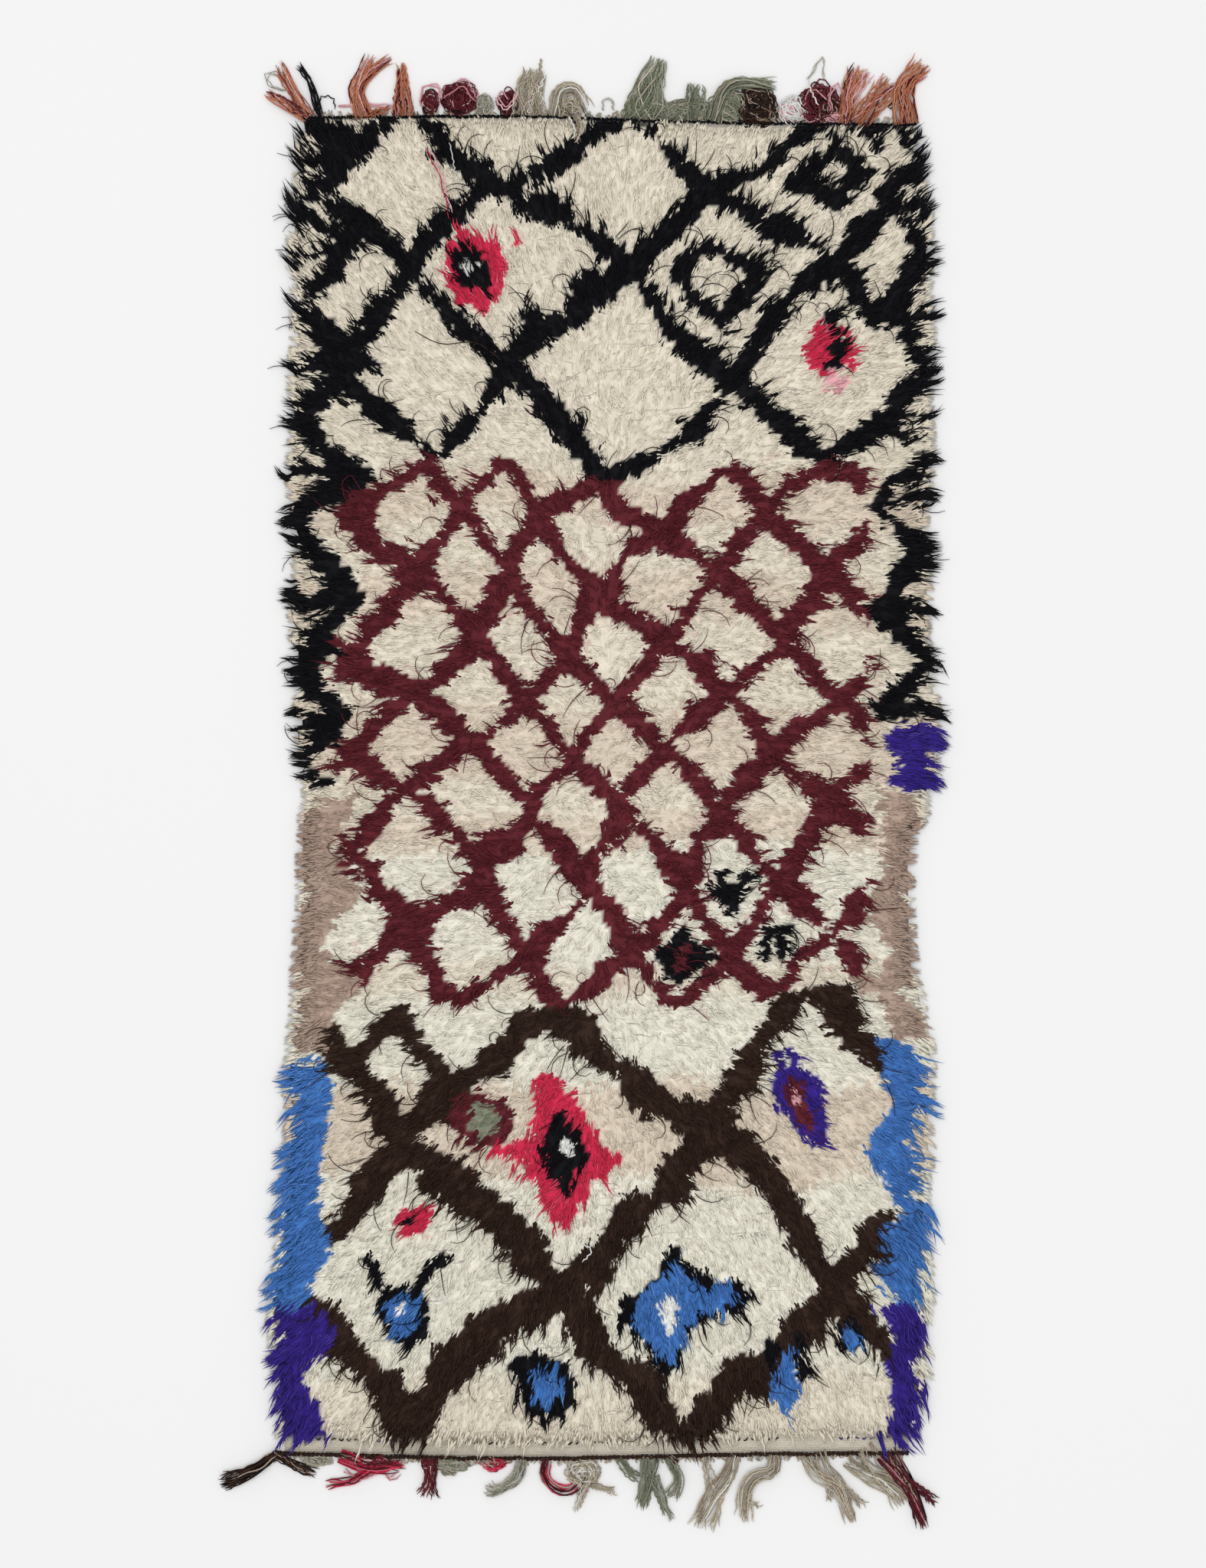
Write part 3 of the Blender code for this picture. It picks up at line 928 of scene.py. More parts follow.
class Groups:
    """The shader node groups that several finishes share, each built once."""

    @staticmethod
    def new(
        name: str, inputs: dict[str, str], outputs: dict[str, str]
    ) -> tuple[Tree, bpy.types.Node, bpy.types.Node]:
        """Starts a group with named sockets.

        Args:
            name: The group's name.
            inputs: The kind of each input socket, by its name.
            outputs: The kind of each output socket, by its name.

        Returns:
            The group's tree, its input node and its output node.
        """
        group = bpy.data.node_groups.new(name, "ShaderNodeTree")
        for label, kind in inputs.items():
            group.interface.new_socket(label, in_out="INPUT", socket_type=kind)
        for label, kind in outputs.items():
            group.interface.new_socket(label, in_out="OUTPUT", socket_type=kind)
        tree = Tree(group)
        return tree, tree.add("NodeGroupInput"), tree.add("NodeGroupOutput")

    @classmethod
    def wool_fibre(cls) -> bpy.types.NodeTree:
        """Wool along a strand: its own tone, fine streaks, painted shade towards its root, and painted shade
        in the grooves between its plies.

        Returns:
            The group.
        """
        if "wool_fibre" in bpy.data.node_groups:
            return bpy.data.node_groups["wool_fibre"]
        tree, given, made = cls.new(
            "wool_fibre",
            {
                "Map": "NodeSocketVector",
                "Deep": "NodeSocketColor",
                "Full": "NodeSocketColor",
                "Pale": "NodeSocketColor",
                "Root Painted Shade": "NodeSocketFloat",
                "Streak": "NodeSocketFloat",
                "Turns": "NodeSocketFloat",
                "Twist": "NodeSocketFloat",
            },
            {"Color": "NodeSocketColor", "Roughness": "NodeSocketFloat", "Height": "NodeSocketFloat"},
        )
        parts = tree.add("ShaderNodeSeparateXYZ")
        tree.join(given.outputs["Map"], parts.inputs[0])
        tone, length = parts.outputs[0], parts.outputs[1]
        low = tree.remap(tone, (0.0, 0.5), (0.0, 1.0))
        high = tree.remap(tone, (0.5, 1.0), (0.0, 1.0))
        colour = tree.mix("MIX", low, given.outputs["Deep"], given.outputs["Full"])
        colour = tree.mix("MIX", high, colour, given.outputs["Pale"])
        streak = tree.noise(given.outputs["Map"], (150.0, 3.0, 0.0), 2.0)
        darkest = tree.math("SUBTRACT", 1.0, given.outputs["Streak"])
        lightness = tree.remap(streak, (0.25, 0.75), (darkest, 1.08))
        # Painted shade: the strand is darkened towards its root, as though the depth of the pile shaded it
        # there.
        root = tree.remap(length, (0.02, 0.62), (given.outputs["Root Painted Shade"], 1.0))
        along = tree.math("MULTIPLY", length, given.outputs["Turns"])
        turning = tree.math("ADD", along, tree.math("MULTIPLY", tone, 34.0))
        ply = tree.math("ABSOLUTE", tree.math("SINE", tree.math("MULTIPLY", turning, math.pi), 0.0), 0.0)
        # Painted shade: the grooves between the plies are darkened, as shade lies in them; the same grooves
        # also give the relief.
        painted_groove_shade = tree.remap(ply, (0.0, 0.7), (tree.math("SUBTRACT", 1.0, given.outputs["Twist"]), 1.0))
        shade = tree.math("MULTIPLY", tree.math("MULTIPLY", lightness, root), painted_groove_shade)
        tree.join(tree.mix("MULTIPLY", 1.0, colour, tree.grey(shade)), made.inputs["Color"])
        tree.join(tree.remap(streak, (0.2, 0.8), (0.97, 0.84)), made.inputs["Roughness"])
        fuzz = tree.noise(given.outputs["Map"], (260.0, 7.0, 0.0), 1.0)
        grooved = tree.math("MULTIPLY", ply, given.outputs["Twist"])
        tree.join(tree.math("ADD", fuzz, grooved), made.inputs["Height"])
        return tree.tree

    @classmethod
    def combed_wool(cls) -> bpy.types.NodeTree:
        """Packed wool: fibres drawn out along the comb's way, with broken creases between rows that dip the
        relief and are darkened with painted shade.

        Returns:
            The group.
        """
        tree, given, made = cls.new(
            "combed_wool",
            {"Vector": "NodeSocketVector", "Comb": "NodeSocketVector"},
            {"Height": "NodeSocketFloat", "Shade": "NodeSocketFloat"},
        )
        ways = tree.add("ShaderNodeSeparateXYZ")
        tree.join(given.outputs["Comb"], ways.inputs[0])
        fibre = None
        for turn, way, pull in ((0, 0, 2.0), (90, 0, -2.0), (45, 1, 2.0), (135, 1, -2.0)):
            turned = tree.add("ShaderNodeVectorRotate", rotation_type="Z_AXIS")
            tree.join(given.outputs["Vector"], turned.inputs["Vector"])
            turned.inputs["Angle"].default_value = -math.radians(turn)
            share = tree.math("MULTIPLY", tree.math("SUBTRACT", ways.outputs[way], 0.5), pull)
            strands = tree.noise(turned.outputs[0], (38.0, 300.0, 1.0), 3.0)
            relief = tree.math("SUBTRACT", strands, 0.5)
            layer = tree.math("MULTIPLY", tree.math("MAXIMUM", share, 0.0), relief)
            fibre = layer if fibre is None else tree.math("ADD", fibre, layer)
        fibre = tree.math("ADD", fibre, 0.5)
        wave = tree.noise(given.outputs["Vector"], (9.0, 44.0, 1.0), 2.0)
        away = tree.math("ABSOLUTE", tree.math("SUBTRACT", wave, 0.5), 0.0)
        rows = tree.noise(given.outputs["Vector"], (13.0, 30.0, 2.0), 2.0)
        parted = tree.remap(rows, (0.50, 0.60), (0.0, 1.0))
        crease_dip_and_painted_shade = tree.math("MULTIPLY", tree.remap(away, (0.0, 0.014), (1.0, 0.0)), parted)
        cloudy = tree.noise(given.outputs["Vector"], (16.0, 26.0, 1.0), 2.0)
        soft = tree.remap(cloudy, (0.3, 0.7), (0.93, 1.03))
        shade = tree.math("MULTIPLY", tree.remap(fibre, (0.36, 0.64), (0.84, 1.05)), soft)
        # Painted shade: the creases between rows are darkened, as the shadow between locks; the Shade output
        # carries this with the fibres' own tone.
        shade = tree.math("MULTIPLY", shade, tree.math("SUBTRACT", 1.0, tree.math("MULTIPLY", crease_dip_and_painted_shade, 0.5)))
        tree.join(shade, made.inputs["Shade"])
        tree.join(tree.math("SUBTRACT", fibre, tree.math("MULTIPLY", crease_dip_and_painted_shade, 0.6)), made.inputs["Height"])
        return tree.tree

    @classmethod
    def plain_weave(cls) -> bpy.types.NodeTree:
        """Plain weave: wefts packed close across, warps spaced under them, and painted shade that darkens the
        hollows between the ribs.

        Returns:
            The group.
        """
        tree, given, made = cls.new(
            "plain_weave",
            {"Vector": "NodeSocketVector", "Weft": "NodeSocketFloat", "Warp": "NodeSocketFloat"},
            {"Height": "NodeSocketFloat", "Hollow Painted Shade": "NodeSocketFloat"},
        )
        parts = tree.add("ShaderNodeSeparateXYZ")
        tree.join(given.outputs["Vector"], parts.inputs[0])
        drift = tree.math("MULTIPLY", tree.noise(given.outputs["Vector"], (18.0, 18.0, 0.0), 1.0), 9.0)
        weft = tree.math("MULTIPLY", parts.outputs[1], given.outputs["Weft"])
        weft = tree.math("ADD", tree.math("MULTIPLY", weft, math.tau), drift)
        warp = tree.math("MULTIPLY", parts.outputs[0], given.outputs["Warp"])
        warp = tree.math("MULTIPLY", warp, math.tau)
        ribs = tree.math("ABSOLUTE", tree.math("SINE", tree.math("MULTIPLY", weft, 0.5), 0.0), 0.0)
        cross = tree.math("SINE", tree.math("ADD", warp, tree.math("MULTIPLY", weft, 0.5)), 0.0)
        height = tree.math("ADD", tree.math("MULTIPLY", ribs, 0.7), tree.math("MULTIPLY", cross, 0.3))
        tree.join(height, made.inputs["Height"])
        # Painted shade: the hollows of the weave are darker.
        tree.join(tree.remap(height, (-0.2, 0.5), (0.62, 1.0)), made.inputs["Hollow Painted Shade"])
        return tree.tree


@dataclass(frozen=True)
class Wool:
    """A dyed wool, by its tones from the least to the most faded strand."""

    yarn: Yarn
    deep: Colour
    full: Colour
    pale: Colour
    # How dark the painted shade at a strand's root is, as a share of its tone.
    root_painted_shade: float = 0.5
    streak: float = 0.14
    gloss: float = 0.2
    sheen: float = 0.25

    def dress(self, piece: bpy.types.Object, slot: str, plied: bool = False) -> None:
        """Gives a piece this wool.

        Args:
            piece: The piece, whose own map runs along its strands.
            slot: Not used.
            plied: Whether its yarns show the turns of their plies.
        """
        name = f"wool_{self.yarn.value}_plied" if plied else f"wool_{self.yarn.value}"
        made = bpy.data.materials.get(name) or self.material(name, plied)
        piece.data.materials.append(made)

    def material(self, name: str, plied: bool) -> bpy.types.Material:
        """Builds the wool's material.

        Args:
            name: The material's name.
            plied: Whether it shows the turns of the plies.

        Returns:
            The new material.
        """
        made, tree = started(name)
        where = tree.add("ShaderNodeUVMap", uv_map="OFBake")
        fibre = tree.group(Groups.wool_fibre())
        tree.join(where.outputs[0], fibre.inputs["Map"])
        values = {
            "Deep": (*self.deep, 1.0),
            "Full": (*self.full, 1.0),
            "Pale": (*self.pale, 1.0),
            "Root Painted Shade": PLIED_ROOT_PAINTED_SHADE if plied else self.root_painted_shade,
            "Turns": PLIED_TURNS if plied else 0.0,
            "Twist": PLIED_GROOVE_DEPTH_AND_SHADE if plied else 0.0,
            "Streak": self.streak,
        }
        for label, value in values.items():
            fibre.inputs[label].default_value = value
        settings = {
            "Specular IOR Level": self.gloss,
            "Sheen Weight": self.sheen,
            "Sheen Roughness": SHEEN_ROUGHNESS,
            "Sheen Tint": (*self.pale, 1.0),
        }
        colour, roughness, height = (fibre.outputs[label] for label in ("Color", "Roughness", "Height"))
        tree.finish(colour, roughness, height, (0.5, 0.0008), settings)
        return made


WOOLS: dict[Yarn, Wool] = {
    wool.yarn: wool
    for wool in (
        Wool(
            Yarn.CREAM, (0.62, 0.555, 0.44), (0.80, 0.73, 0.60), (0.88, 0.82, 0.70),
            root_painted_shade=0.88, streak=0.08,
        ),
        Wool(
            Yarn.OATMEAL, (0.56, 0.47, 0.365), (0.745, 0.645, 0.52), (0.84, 0.75, 0.63),
            root_painted_shade=0.88, streak=0.08,
        ),
        Wool(
            Yarn.CHALK, (0.66, 0.63, 0.52), (0.83, 0.795, 0.675), (0.90, 0.87, 0.76),
            root_painted_shade=0.88, streak=0.08,
        ),
        Wool(
            Yarn.BLACK, (0.0022, 0.0022, 0.0030), (0.0050, 0.0050, 0.0070), (0.012, 0.012, 0.016),
            gloss=0.12, sheen=0.05,
        ),
        Wool(
            Yarn.MAROON, (0.060, 0.010, 0.014), (0.125, 0.018, 0.026), (0.20, 0.04, 0.05),
            gloss=0.12, sheen=0.1,
        ),
        Wool(
            Yarn.BROWN, (0.017, 0.009, 0.006), (0.038, 0.019, 0.013), (0.065, 0.036, 0.025),
            gloss=0.12, sheen=0.08,
        ),
        Wool(Yarn.BLUE, (0.030, 0.11, 0.32), (0.062, 0.20, 0.56), (0.16, 0.36, 0.72)),
        Wool(Yarn.INDIGO, (0.020, 0.008, 0.12), (0.040, 0.018, 0.25), (0.11, 0.07, 0.42)),
        Wool(Yarn.TAUPE, (0.28, 0.19, 0.145), (0.47, 0.345, 0.275), (0.64, 0.51, 0.43)),
        Wool(Yarn.CRIMSON, (0.34, 0.008, 0.030), (0.68, 0.026, 0.080), (0.86, 0.14, 0.22)),
        Wool(Yarn.PINK, (0.60, 0.20, 0.24), (0.82, 0.42, 0.46), (0.92, 0.68, 0.68)),
        Wool(
            Yarn.BLUSH, (0.60, 0.47, 0.39), (0.80, 0.65, 0.57), (0.89, 0.77, 0.70),
            root_painted_shade=0.88, streak=0.08,
        ),
        Wool(Yarn.WHITE, (0.70, 0.70, 0.66), (0.90, 0.90, 0.86), (0.96, 0.96, 0.94)),
        Wool(Yarn.SAGE, (0.13, 0.145, 0.095), (0.24, 0.26, 0.18), (0.40, 0.42, 0.31)),
        Wool(Yarn.ORANGE, (0.34, 0.095, 0.045), (0.56, 0.20, 0.11), (0.72, 0.38, 0.24)),
        Wool(Yarn.GREY, (0.26, 0.25, 0.20), (0.46, 0.44, 0.36), (0.64, 0.62, 0.54)),
        Wool(Yarn.BEIGE, (0.30, 0.25, 0.18), (0.52, 0.45, 0.34), (0.70, 0.63, 0.50)),
    )
}


# ---------------------------------------------------------------------------------------------
# The pile
# ---------------------------------------------------------------------------------------------


def tones() -> Array:
    """Gives every yarn's full tone, in the order of YARNS."""
    return np.array([WOOLS[yarn].full for yarn in YARNS])


DEEP_YARNS = (Yarn.BLACK, Yarn.BROWN, Yarn.MAROON, Yarn.BLUE, Yarn.INDIGO, Yarn.CRIMSON)
RED_YARNS = (Yarn.MAROON, Yarn.CRIMSON)
UNDYED_YARNS = (Yarn.CREAM, Yarn.OATMEAL, Yarn.CHALK)


@dataclass
class Slow:
    """A smooth uneven value over the weave, made of a few slow waves."""

    seed: int
    shortest: float
    longest: float
    count: int = 7

    def __call__(self, x: Array, y: Array) -> Array:
        """Reads the value.

        Args:
            x: Places across, in metres.
            y: Places along, in metres.

        Returns:
            A value of about -1 to 1 for each place.
        """
        rng = np.random.default_rng(self.seed)
        total = np.zeros(np.shape(x))
        for _ in range(self.count):
            turn = rng.uniform(0.0, math.tau)
            pace = math.tau / rng.uniform(self.shortest, self.longest)
            total += np.sin(pace * (x * math.cos(turn) + y * math.sin(turn)) + rng.uniform(0.0, math.tau))
        return total / math.sqrt(self.count)


@dataclass
class Pile:
    """The cut pile: knots in rows, each a lock of strands that leans out from the middle.

    Meeting and blush_reach are in centimetres on the chart. Reach is how far a lock's tip lies from
    its root: near_reach in the middle, out_reach more at the ends, and side_reach more beside the
    selvedges. Side_pull is the power with which the lean grows towards the selvedges; top_pull and
    bottom_pull are its strength at each end, and the power. Shoulder says how high the pile stands,
    as pairs of a distance inside the selvedge and a share. A knot's wool is the one under the spot
    where its lock shows, a shown share of its reach away.
    """

    weave: Weave
    chart: Chart
    knot_pitch: float = 0.0126
    row_pitch: float = 0.0137
    half_span: float = 0.62
    strands: int = 7
    sparse: int = 4
    deep_strands: int = 6
    full_margin: float = 0.030
    meeting: float = 2.2
    blush_reach: float = 2.4
    blush_share: float = 0.22
    side_pull: float = 0.75
    top_pull: Place = (1.7, 2.6)
    bottom_pull: Place = (1.6, 2.0)
    near_reach: float = 0.015
    out_reach: float = 0.010
    side_reach: float = 0.016
    most_reach: float = 0.044
    shown_share: float = 0.62
    most_shown: float = 0.022
    long_from: float = 0.036
    deep_long_from: float = 0.030
    strand_radius: float = 0.00182
    flatness: float = 0.55
    lock_spread: float = 0.0056
    root_height: float = 0.0060
    standing: float = 0.0175
    shoulder: tuple[Place, ...] = ((-0.04, 0.18), (0.0, 0.24), (0.011, 0.52), (0.030, 0.80), (0.062, 1.0))
    bend_share: float = 0.40
    bend_height: float = 1.36
    tip_height: float = 0.88
    least_tip: float = 0.0028
    side_inset: float = 0.017
    side_depth: float = 0.085
    bottom_strip: float = 0.036
    top_strip: float = 0.009
    most_triangles: int = 190_000
    short: Filament = Filament(3, (0.42,), (1.0,))
    long: Filament = Filament(3, (0.25, 0.68), (1.0, 0.78))

    def knots(self, rng: np.random.Generator) -> tuple[Array, Array]:
        """Sets out the knots, in rows from selvedge to selvedge.

        Args:
            rng: Where the unevenness comes from.

        Returns:
            The places of the knots across and along.
        """
        low = self.weave.bottom_line[:, 1].min()
        high = self.weave.top_line[:, 1].max()
        rows = np.arange(low, high, self.row_pitch)
        columns = np.arange(-self.half_span, self.half_span, self.knot_pitch)
        x, y = np.meshgrid(columns, rows)
        x = x + 0.5 * self.knot_pitch * (np.arange(len(rows)) % 2)[:, None]
        x = x + rng.normal(0.0, 0.16 * self.knot_pitch, x.shape)
        y = y + rng.normal(0.0, 0.14 * self.row_pitch, y.shape)
        inside = self.weave.inset(x, y) > self.side_inset
        inside &= y > self.weave.bottom(x) + self.bottom_strip
        inside &= y < self.weave.top(x) - self.top_strip
        return x[inside], y[inside]

    def counts(self, x: Array, y: Array) -> Array:
        """Counts each knot's strands: more in dyed knots, where two wools meet and at the selvedges.

        Args:
            x: Knots across.
            y: Knots along.

        Returns:
            The number of strands in each knot.
        """
        own = self.chart.yarn_at(x / CM, y / CM)
        full = self.weave.inset(x, y) < self.side_inset + self.full_margin
        for turn in np.linspace(0.0, math.tau, 9)[:-1]:
            across = self.meeting * math.cos(turn)
            along = self.meeting * math.sin(turn)
            full |= self.chart.yarn_at(x / CM + across, y / CM + along) != own
        found = np.where(full, self.strands, self.sparse)
        return np.where(own != Yarn.CREAM.number, self.deep_strands, found)

    def lean(self, x: Array, y: Array, rng: np.random.Generator) -> tuple[Array, Array, Array]:
        """Works out which way each lock leans and how far its tip lies from its root.

        Args:
            x: Knots across.
            y: Knots along.
            rng: Where the unevenness comes from.

        Returns:
            The two parts of the lean's direction, and its reach.
        """
        half_width = 0.5 * (self.weave.right(y) - self.weave.left(y))
        half_length = self.weave.top_line[:, 1].max()
        across = x / half_width
        along = y / half_length
        out_x = np.sign(across) * np.abs(across) ** self.side_pull
        upwards = self.top_pull[0] * np.abs(along) ** self.top_pull[1]
        downwards = self.bottom_pull[0] * np.abs(along) ** self.bottom_pull[1]
        out_y = np.where(along > 0.0, upwards, -downwards)
        strength = np.clip(np.hypot(out_x, out_y), 0.0, 1.0)
        turn = np.arctan2(out_y, out_x) - 0.15 * np.clip(2.0 * across, 0.0, 1.0)
        turn += (0.20 + 0.7 * (1.0 - strength) ** 2) * Slow(5, 0.05, 0.16)(x, y)
        turn += rng.normal(0.0, 0.13 + 0.3 * (1.0 - strength) ** 2, x.shape)
        side = np.clip(1.0 - (self.weave.inset(x, y) - self.side_inset) / self.side_depth, 0.0, 1.0)
        reach = self.near_reach + self.out_reach * strength + self.side_reach * side**0.7
        reach *= np.exp(rng.normal(0.0, 0.22, x.shape)) * (1.0 + 0.14 * Slow(6, 0.04, 0.12)(x, y))
        reach *= np.where(rng.random(x.shape) < 0.05 + 0.08 * side, 1.4, 1.0)
        return np.cos(turn), np.sin(turn), np.minimum(reach, self.most_reach)

    def surface(self, x: Array, y: Array) -> Array:
        """Gives how high the top of the pile stands at each place, rounding down at the sides."""
        side = np.interp(self.weave.inset(x, y), *zip(*self.shoulder))
        return self.standing * side * (1.0 + 0.06 * Slow(7, 0.10, 0.35)(x, y))

    def wool_of(self, x: Array, y: Array, rng: np.random.Generator) -> Array:
        """Names each knot's wool, with the undyed ones changing in bands along the weave.

        Args:
            x: Places across.
            y: Places along.
            rng: Where the unevenness comes from.

        Returns:
            The number of each wool in YARNS.
        """
        found = self.chart.yarn_at(x / CM, y / CM)
        level = y / CM + 1.6 * Slow(8, 0.25, 0.9)(x, y) + rng.normal(0.0, 0.9, x.shape)
        stops = np.array([row.below for row in BANDS])
        chosen = np.array([row.yarn.number for row in BANDS])[np.searchsorted(-stops, -level) - 1]
        undyed = found == Yarn.CREAM.number
        found[undyed] = chosen[undyed]
        return found

    def blushed(self, x: Array, y: Array, wool: Array, rng: np.random.Generator) -> Array:
        """Lets red dye run into a few of the undyed locks beside a maroon or crimson one.

        Args:
            x: Knots across.
            y: Knots along.
            wool: The number of each knot's wool.
            rng: Where the unevenness comes from.

        Returns:
            The number of each knot's wool, a few of them now blushed.
        """
        turn = rng.uniform(0.0, math.tau, x.shape)
        across = self.blush_reach * np.cos(turn)
        near = self.chart.yarn_at(x / CM + across, y / CM + self.blush_reach * np.sin(turn))
        beside_red = np.isin(wool, numbers(UNDYED_YARNS)) & np.isin(near, numbers(RED_YARNS))
        taken = beside_red & (rng.random(x.shape) < self.blush_share)
        return np.where(taken, Yarn.BLUSH.number, wool)

    def trimmed(
        self, root: Array, way: tuple[Array, Array], reach: Array, dark: Array, rng: np.random.Generator
    ) -> Array:
        """Keeps the strands from reaching far past the selvedges and the top cord.

        Args:
            root: The strands' roots, two numbers each.
            way: The two parts of the directions that they lie in.
            reach: How far they reach.
            dark: Which strands are of the dark wools, whose ends may reach further.
            rng: Where the unevenness comes from.

        Returns:
            How far each strand reaches now.
        """
        dir_x, dir_y = way
        beyond = -self.weave.inset(root[:, 0] + dir_x * reach, root[:, 1] + dir_y * reach)
        far = 0.010 + 0.012 * rng.random(reach.shape)
        most = np.where(dark, far, 0.0005 + 0.003 * rng.random(reach.shape))
        reach = np.maximum(reach - np.maximum(beyond - most, 0.0) / np.maximum(np.abs(dir_x), 0.3), 0.010)
        over_cord = dark & (rng.random(reach.shape) < 0.15)
        far = 0.010 * rng.random(reach.shape)
        past = np.where(over_cord, far, -0.002 - 0.003 * rng.random(reach.shape))
        climb = root[:, 1] + dir_y * reach - self.weave.top(root[:, 0]) - past
        return np.maximum(reach - np.maximum(climb, 0.0) / np.maximum(dir_y, 0.3), 0.008)

    def locks(self) -> tuple[Array, dict[str, Array]]:
        """Lays every strand of every lock.

        Returns:
            The number of each strand's wool, and what each strand needs: its root, bend and tip,
            its radius, its shade, its sideways direction and whether it is a long one.
        """
        rng = np.random.default_rng(SEED)
        x, y = self.knots(rng)
        out_x, out_y, reach = self.lean(x, y, rng)
        shown = np.minimum(self.shown_share * reach, self.most_shown)
        stray_x, stray_y = rng.normal(0.0, 0.0030, (2, len(x)))
        wool = self.wool_of(x + shown * out_x + stray_x, y + shown * out_y + stray_y, rng)
        wool = self.blushed(x, y, wool, rng)
        bow = rng.normal(0.0, 0.16, x.shape)
        count = self.counts(x, y)
        shade = np.clip(0.5 + 0.08 * Slow(9, 0.03, 0.20)(x, y) + rng.normal(0.0, 0.05, x.shape), 0.05, 0.95)
        first = np.repeat(np.cumsum(count) - count, count)
        x, y, out_x, out_y = (np.repeat(v, count) for v in (x, y, out_x, out_y))
        reach, wool, shade, bow, count = (np.repeat(v, count) for v in (reach, wool, shade, bow, count))
        dark = np.isin(wool, numbers(DEEP_YARNS))
        spread = 2.0 * (np.arange(len(x)) - first + 0.5) / count - 1.0
        spread = self.lock_spread * (spread + rng.normal(0.0, 0.2, x.shape))
        fore = rng.normal(0.0, 0.0036, x.shape)
        root = np.stack((x - out_y * spread + out_x * fore, y + out_x * spread + out_y * fore), axis=1)
        turn = rng.normal(0.0, 0.07, x.shape)
        dir_x = out_x * np.cos(turn) - out_y * np.sin(turn)
        dir_y = out_y * np.cos(turn) + out_x * np.sin(turn)
        edge = np.abs(spread) / self.lock_spread
        reach = reach * (1.0 - 0.25 * edge**2 + rng.normal(0.0, 0.10, x.shape))
        reach *= 1.0 + 0.32 * dark * (1.0 + rng.normal(0.0, 0.8, x.shape))
        reach = self.trimmed(root, (dir_x, dir_y), reach, dark, rng)
        inward = np.where(dark, -0.85, -0.60) * spread
        tip = root + np.stack((dir_x * reach - out_y * inward, dir_y * reach + out_x * inward), axis=1)
        rise = self.surface(root[:, 0], root[:, 1])
        fall = self.surface(tip[:, 0], tip[:, 1])
        lift = rng.normal(0.0, 0.0007, x.shape) + 0.0006 * dark
        pull = 0.2 * inward + bow * reach * (0.6 + 0.6 * dark)
        bend = root + self.bend_share * (tip - root) + np.stack((out_y * pull, -out_x * pull), axis=1)
        parts = {
            "root": np.column_stack((root, np.full(len(x), self.root_height))),
            "bend": np.column_stack((bend, self.bend_height * rise + lift)),
            "tip": np.column_stack((tip, np.maximum(self.tip_height * fall + 1.3 * lift, self.least_tip))),
            "radius": self.strand_radius * np.exp(rng.normal(0.0, 0.13, x.shape)),
            "shade": np.clip(shade + rng.normal(0.0, 1.0, x.shape) * (0.05 + 0.04 * dark), 0.02, 0.98),
            "side": np.column_stack((-dir_y, dir_x, np.zeros(len(x)))),
            "long": reach > np.where(dark, self.deep_long_from, self.long_from),
        }
        return wool, parts

    def lay(self, parts: dict[str, Array], chosen: Array, filament: Filament) -> Lay:
        """Turns some of the strands into laid filaments.

        Args:
            parts: What every strand needs.
            chosen: Which strands are wanted.
            filament: The tube to lay.

        Returns:
            The strands, ready to be joined.
        """
        root, bend, tip = (parts[name][chosen] for name in ("root", "bend", "tip"))
        return Lay(
            filament,
            bowed(root, bend, tip, filament.stations()),
            parts["radius"][chosen],
            parts["shade"][chosen],
            parts["side"][chosen],
            self.flatness,
        )

    def build(self) -> list[bpy.types.Object]:
        """Builds and dresses the pile, one piece or a few for each wool.

        Returns:
            The pieces.
        """
        wool, parts = self.locks()
        many, few = (len(tube.shape()[2]) for tube in (self.long, self.short))
        pieces = []
        for number in np.unique(wool):
            yarn = YARNS[number]
            mine = np.flatnonzero(wool == number)
            load = int(np.sum(np.where(parts["long"][mine], many, few)))
            shares = np.array_split(mine, max(1, math.ceil(load / self.most_triangles)))
            for order, share in enumerate(shares):
                is_long = parts["long"][share]
                lays = [self.lay(parts, share[~is_long], self.short)]
                lays.append(self.lay(parts, share[is_long], self.long))
                name = f"pile_{yarn.value}" if len(shares) == 1 else f"pile_{yarn.value}_{order + 1}"
                piece = joined(name, lays, self.weave)
                WOOLS[yarn].dress(piece, "wool_pile")
                pieces.append(piece)
                LOG.info("%s: %d triangles", name, len(piece.data.polygons))
        return pieces


# ---------------------------------------------------------------------------------------------
# The woven ground and the header cords
# ---------------------------------------------------------------------------------------------


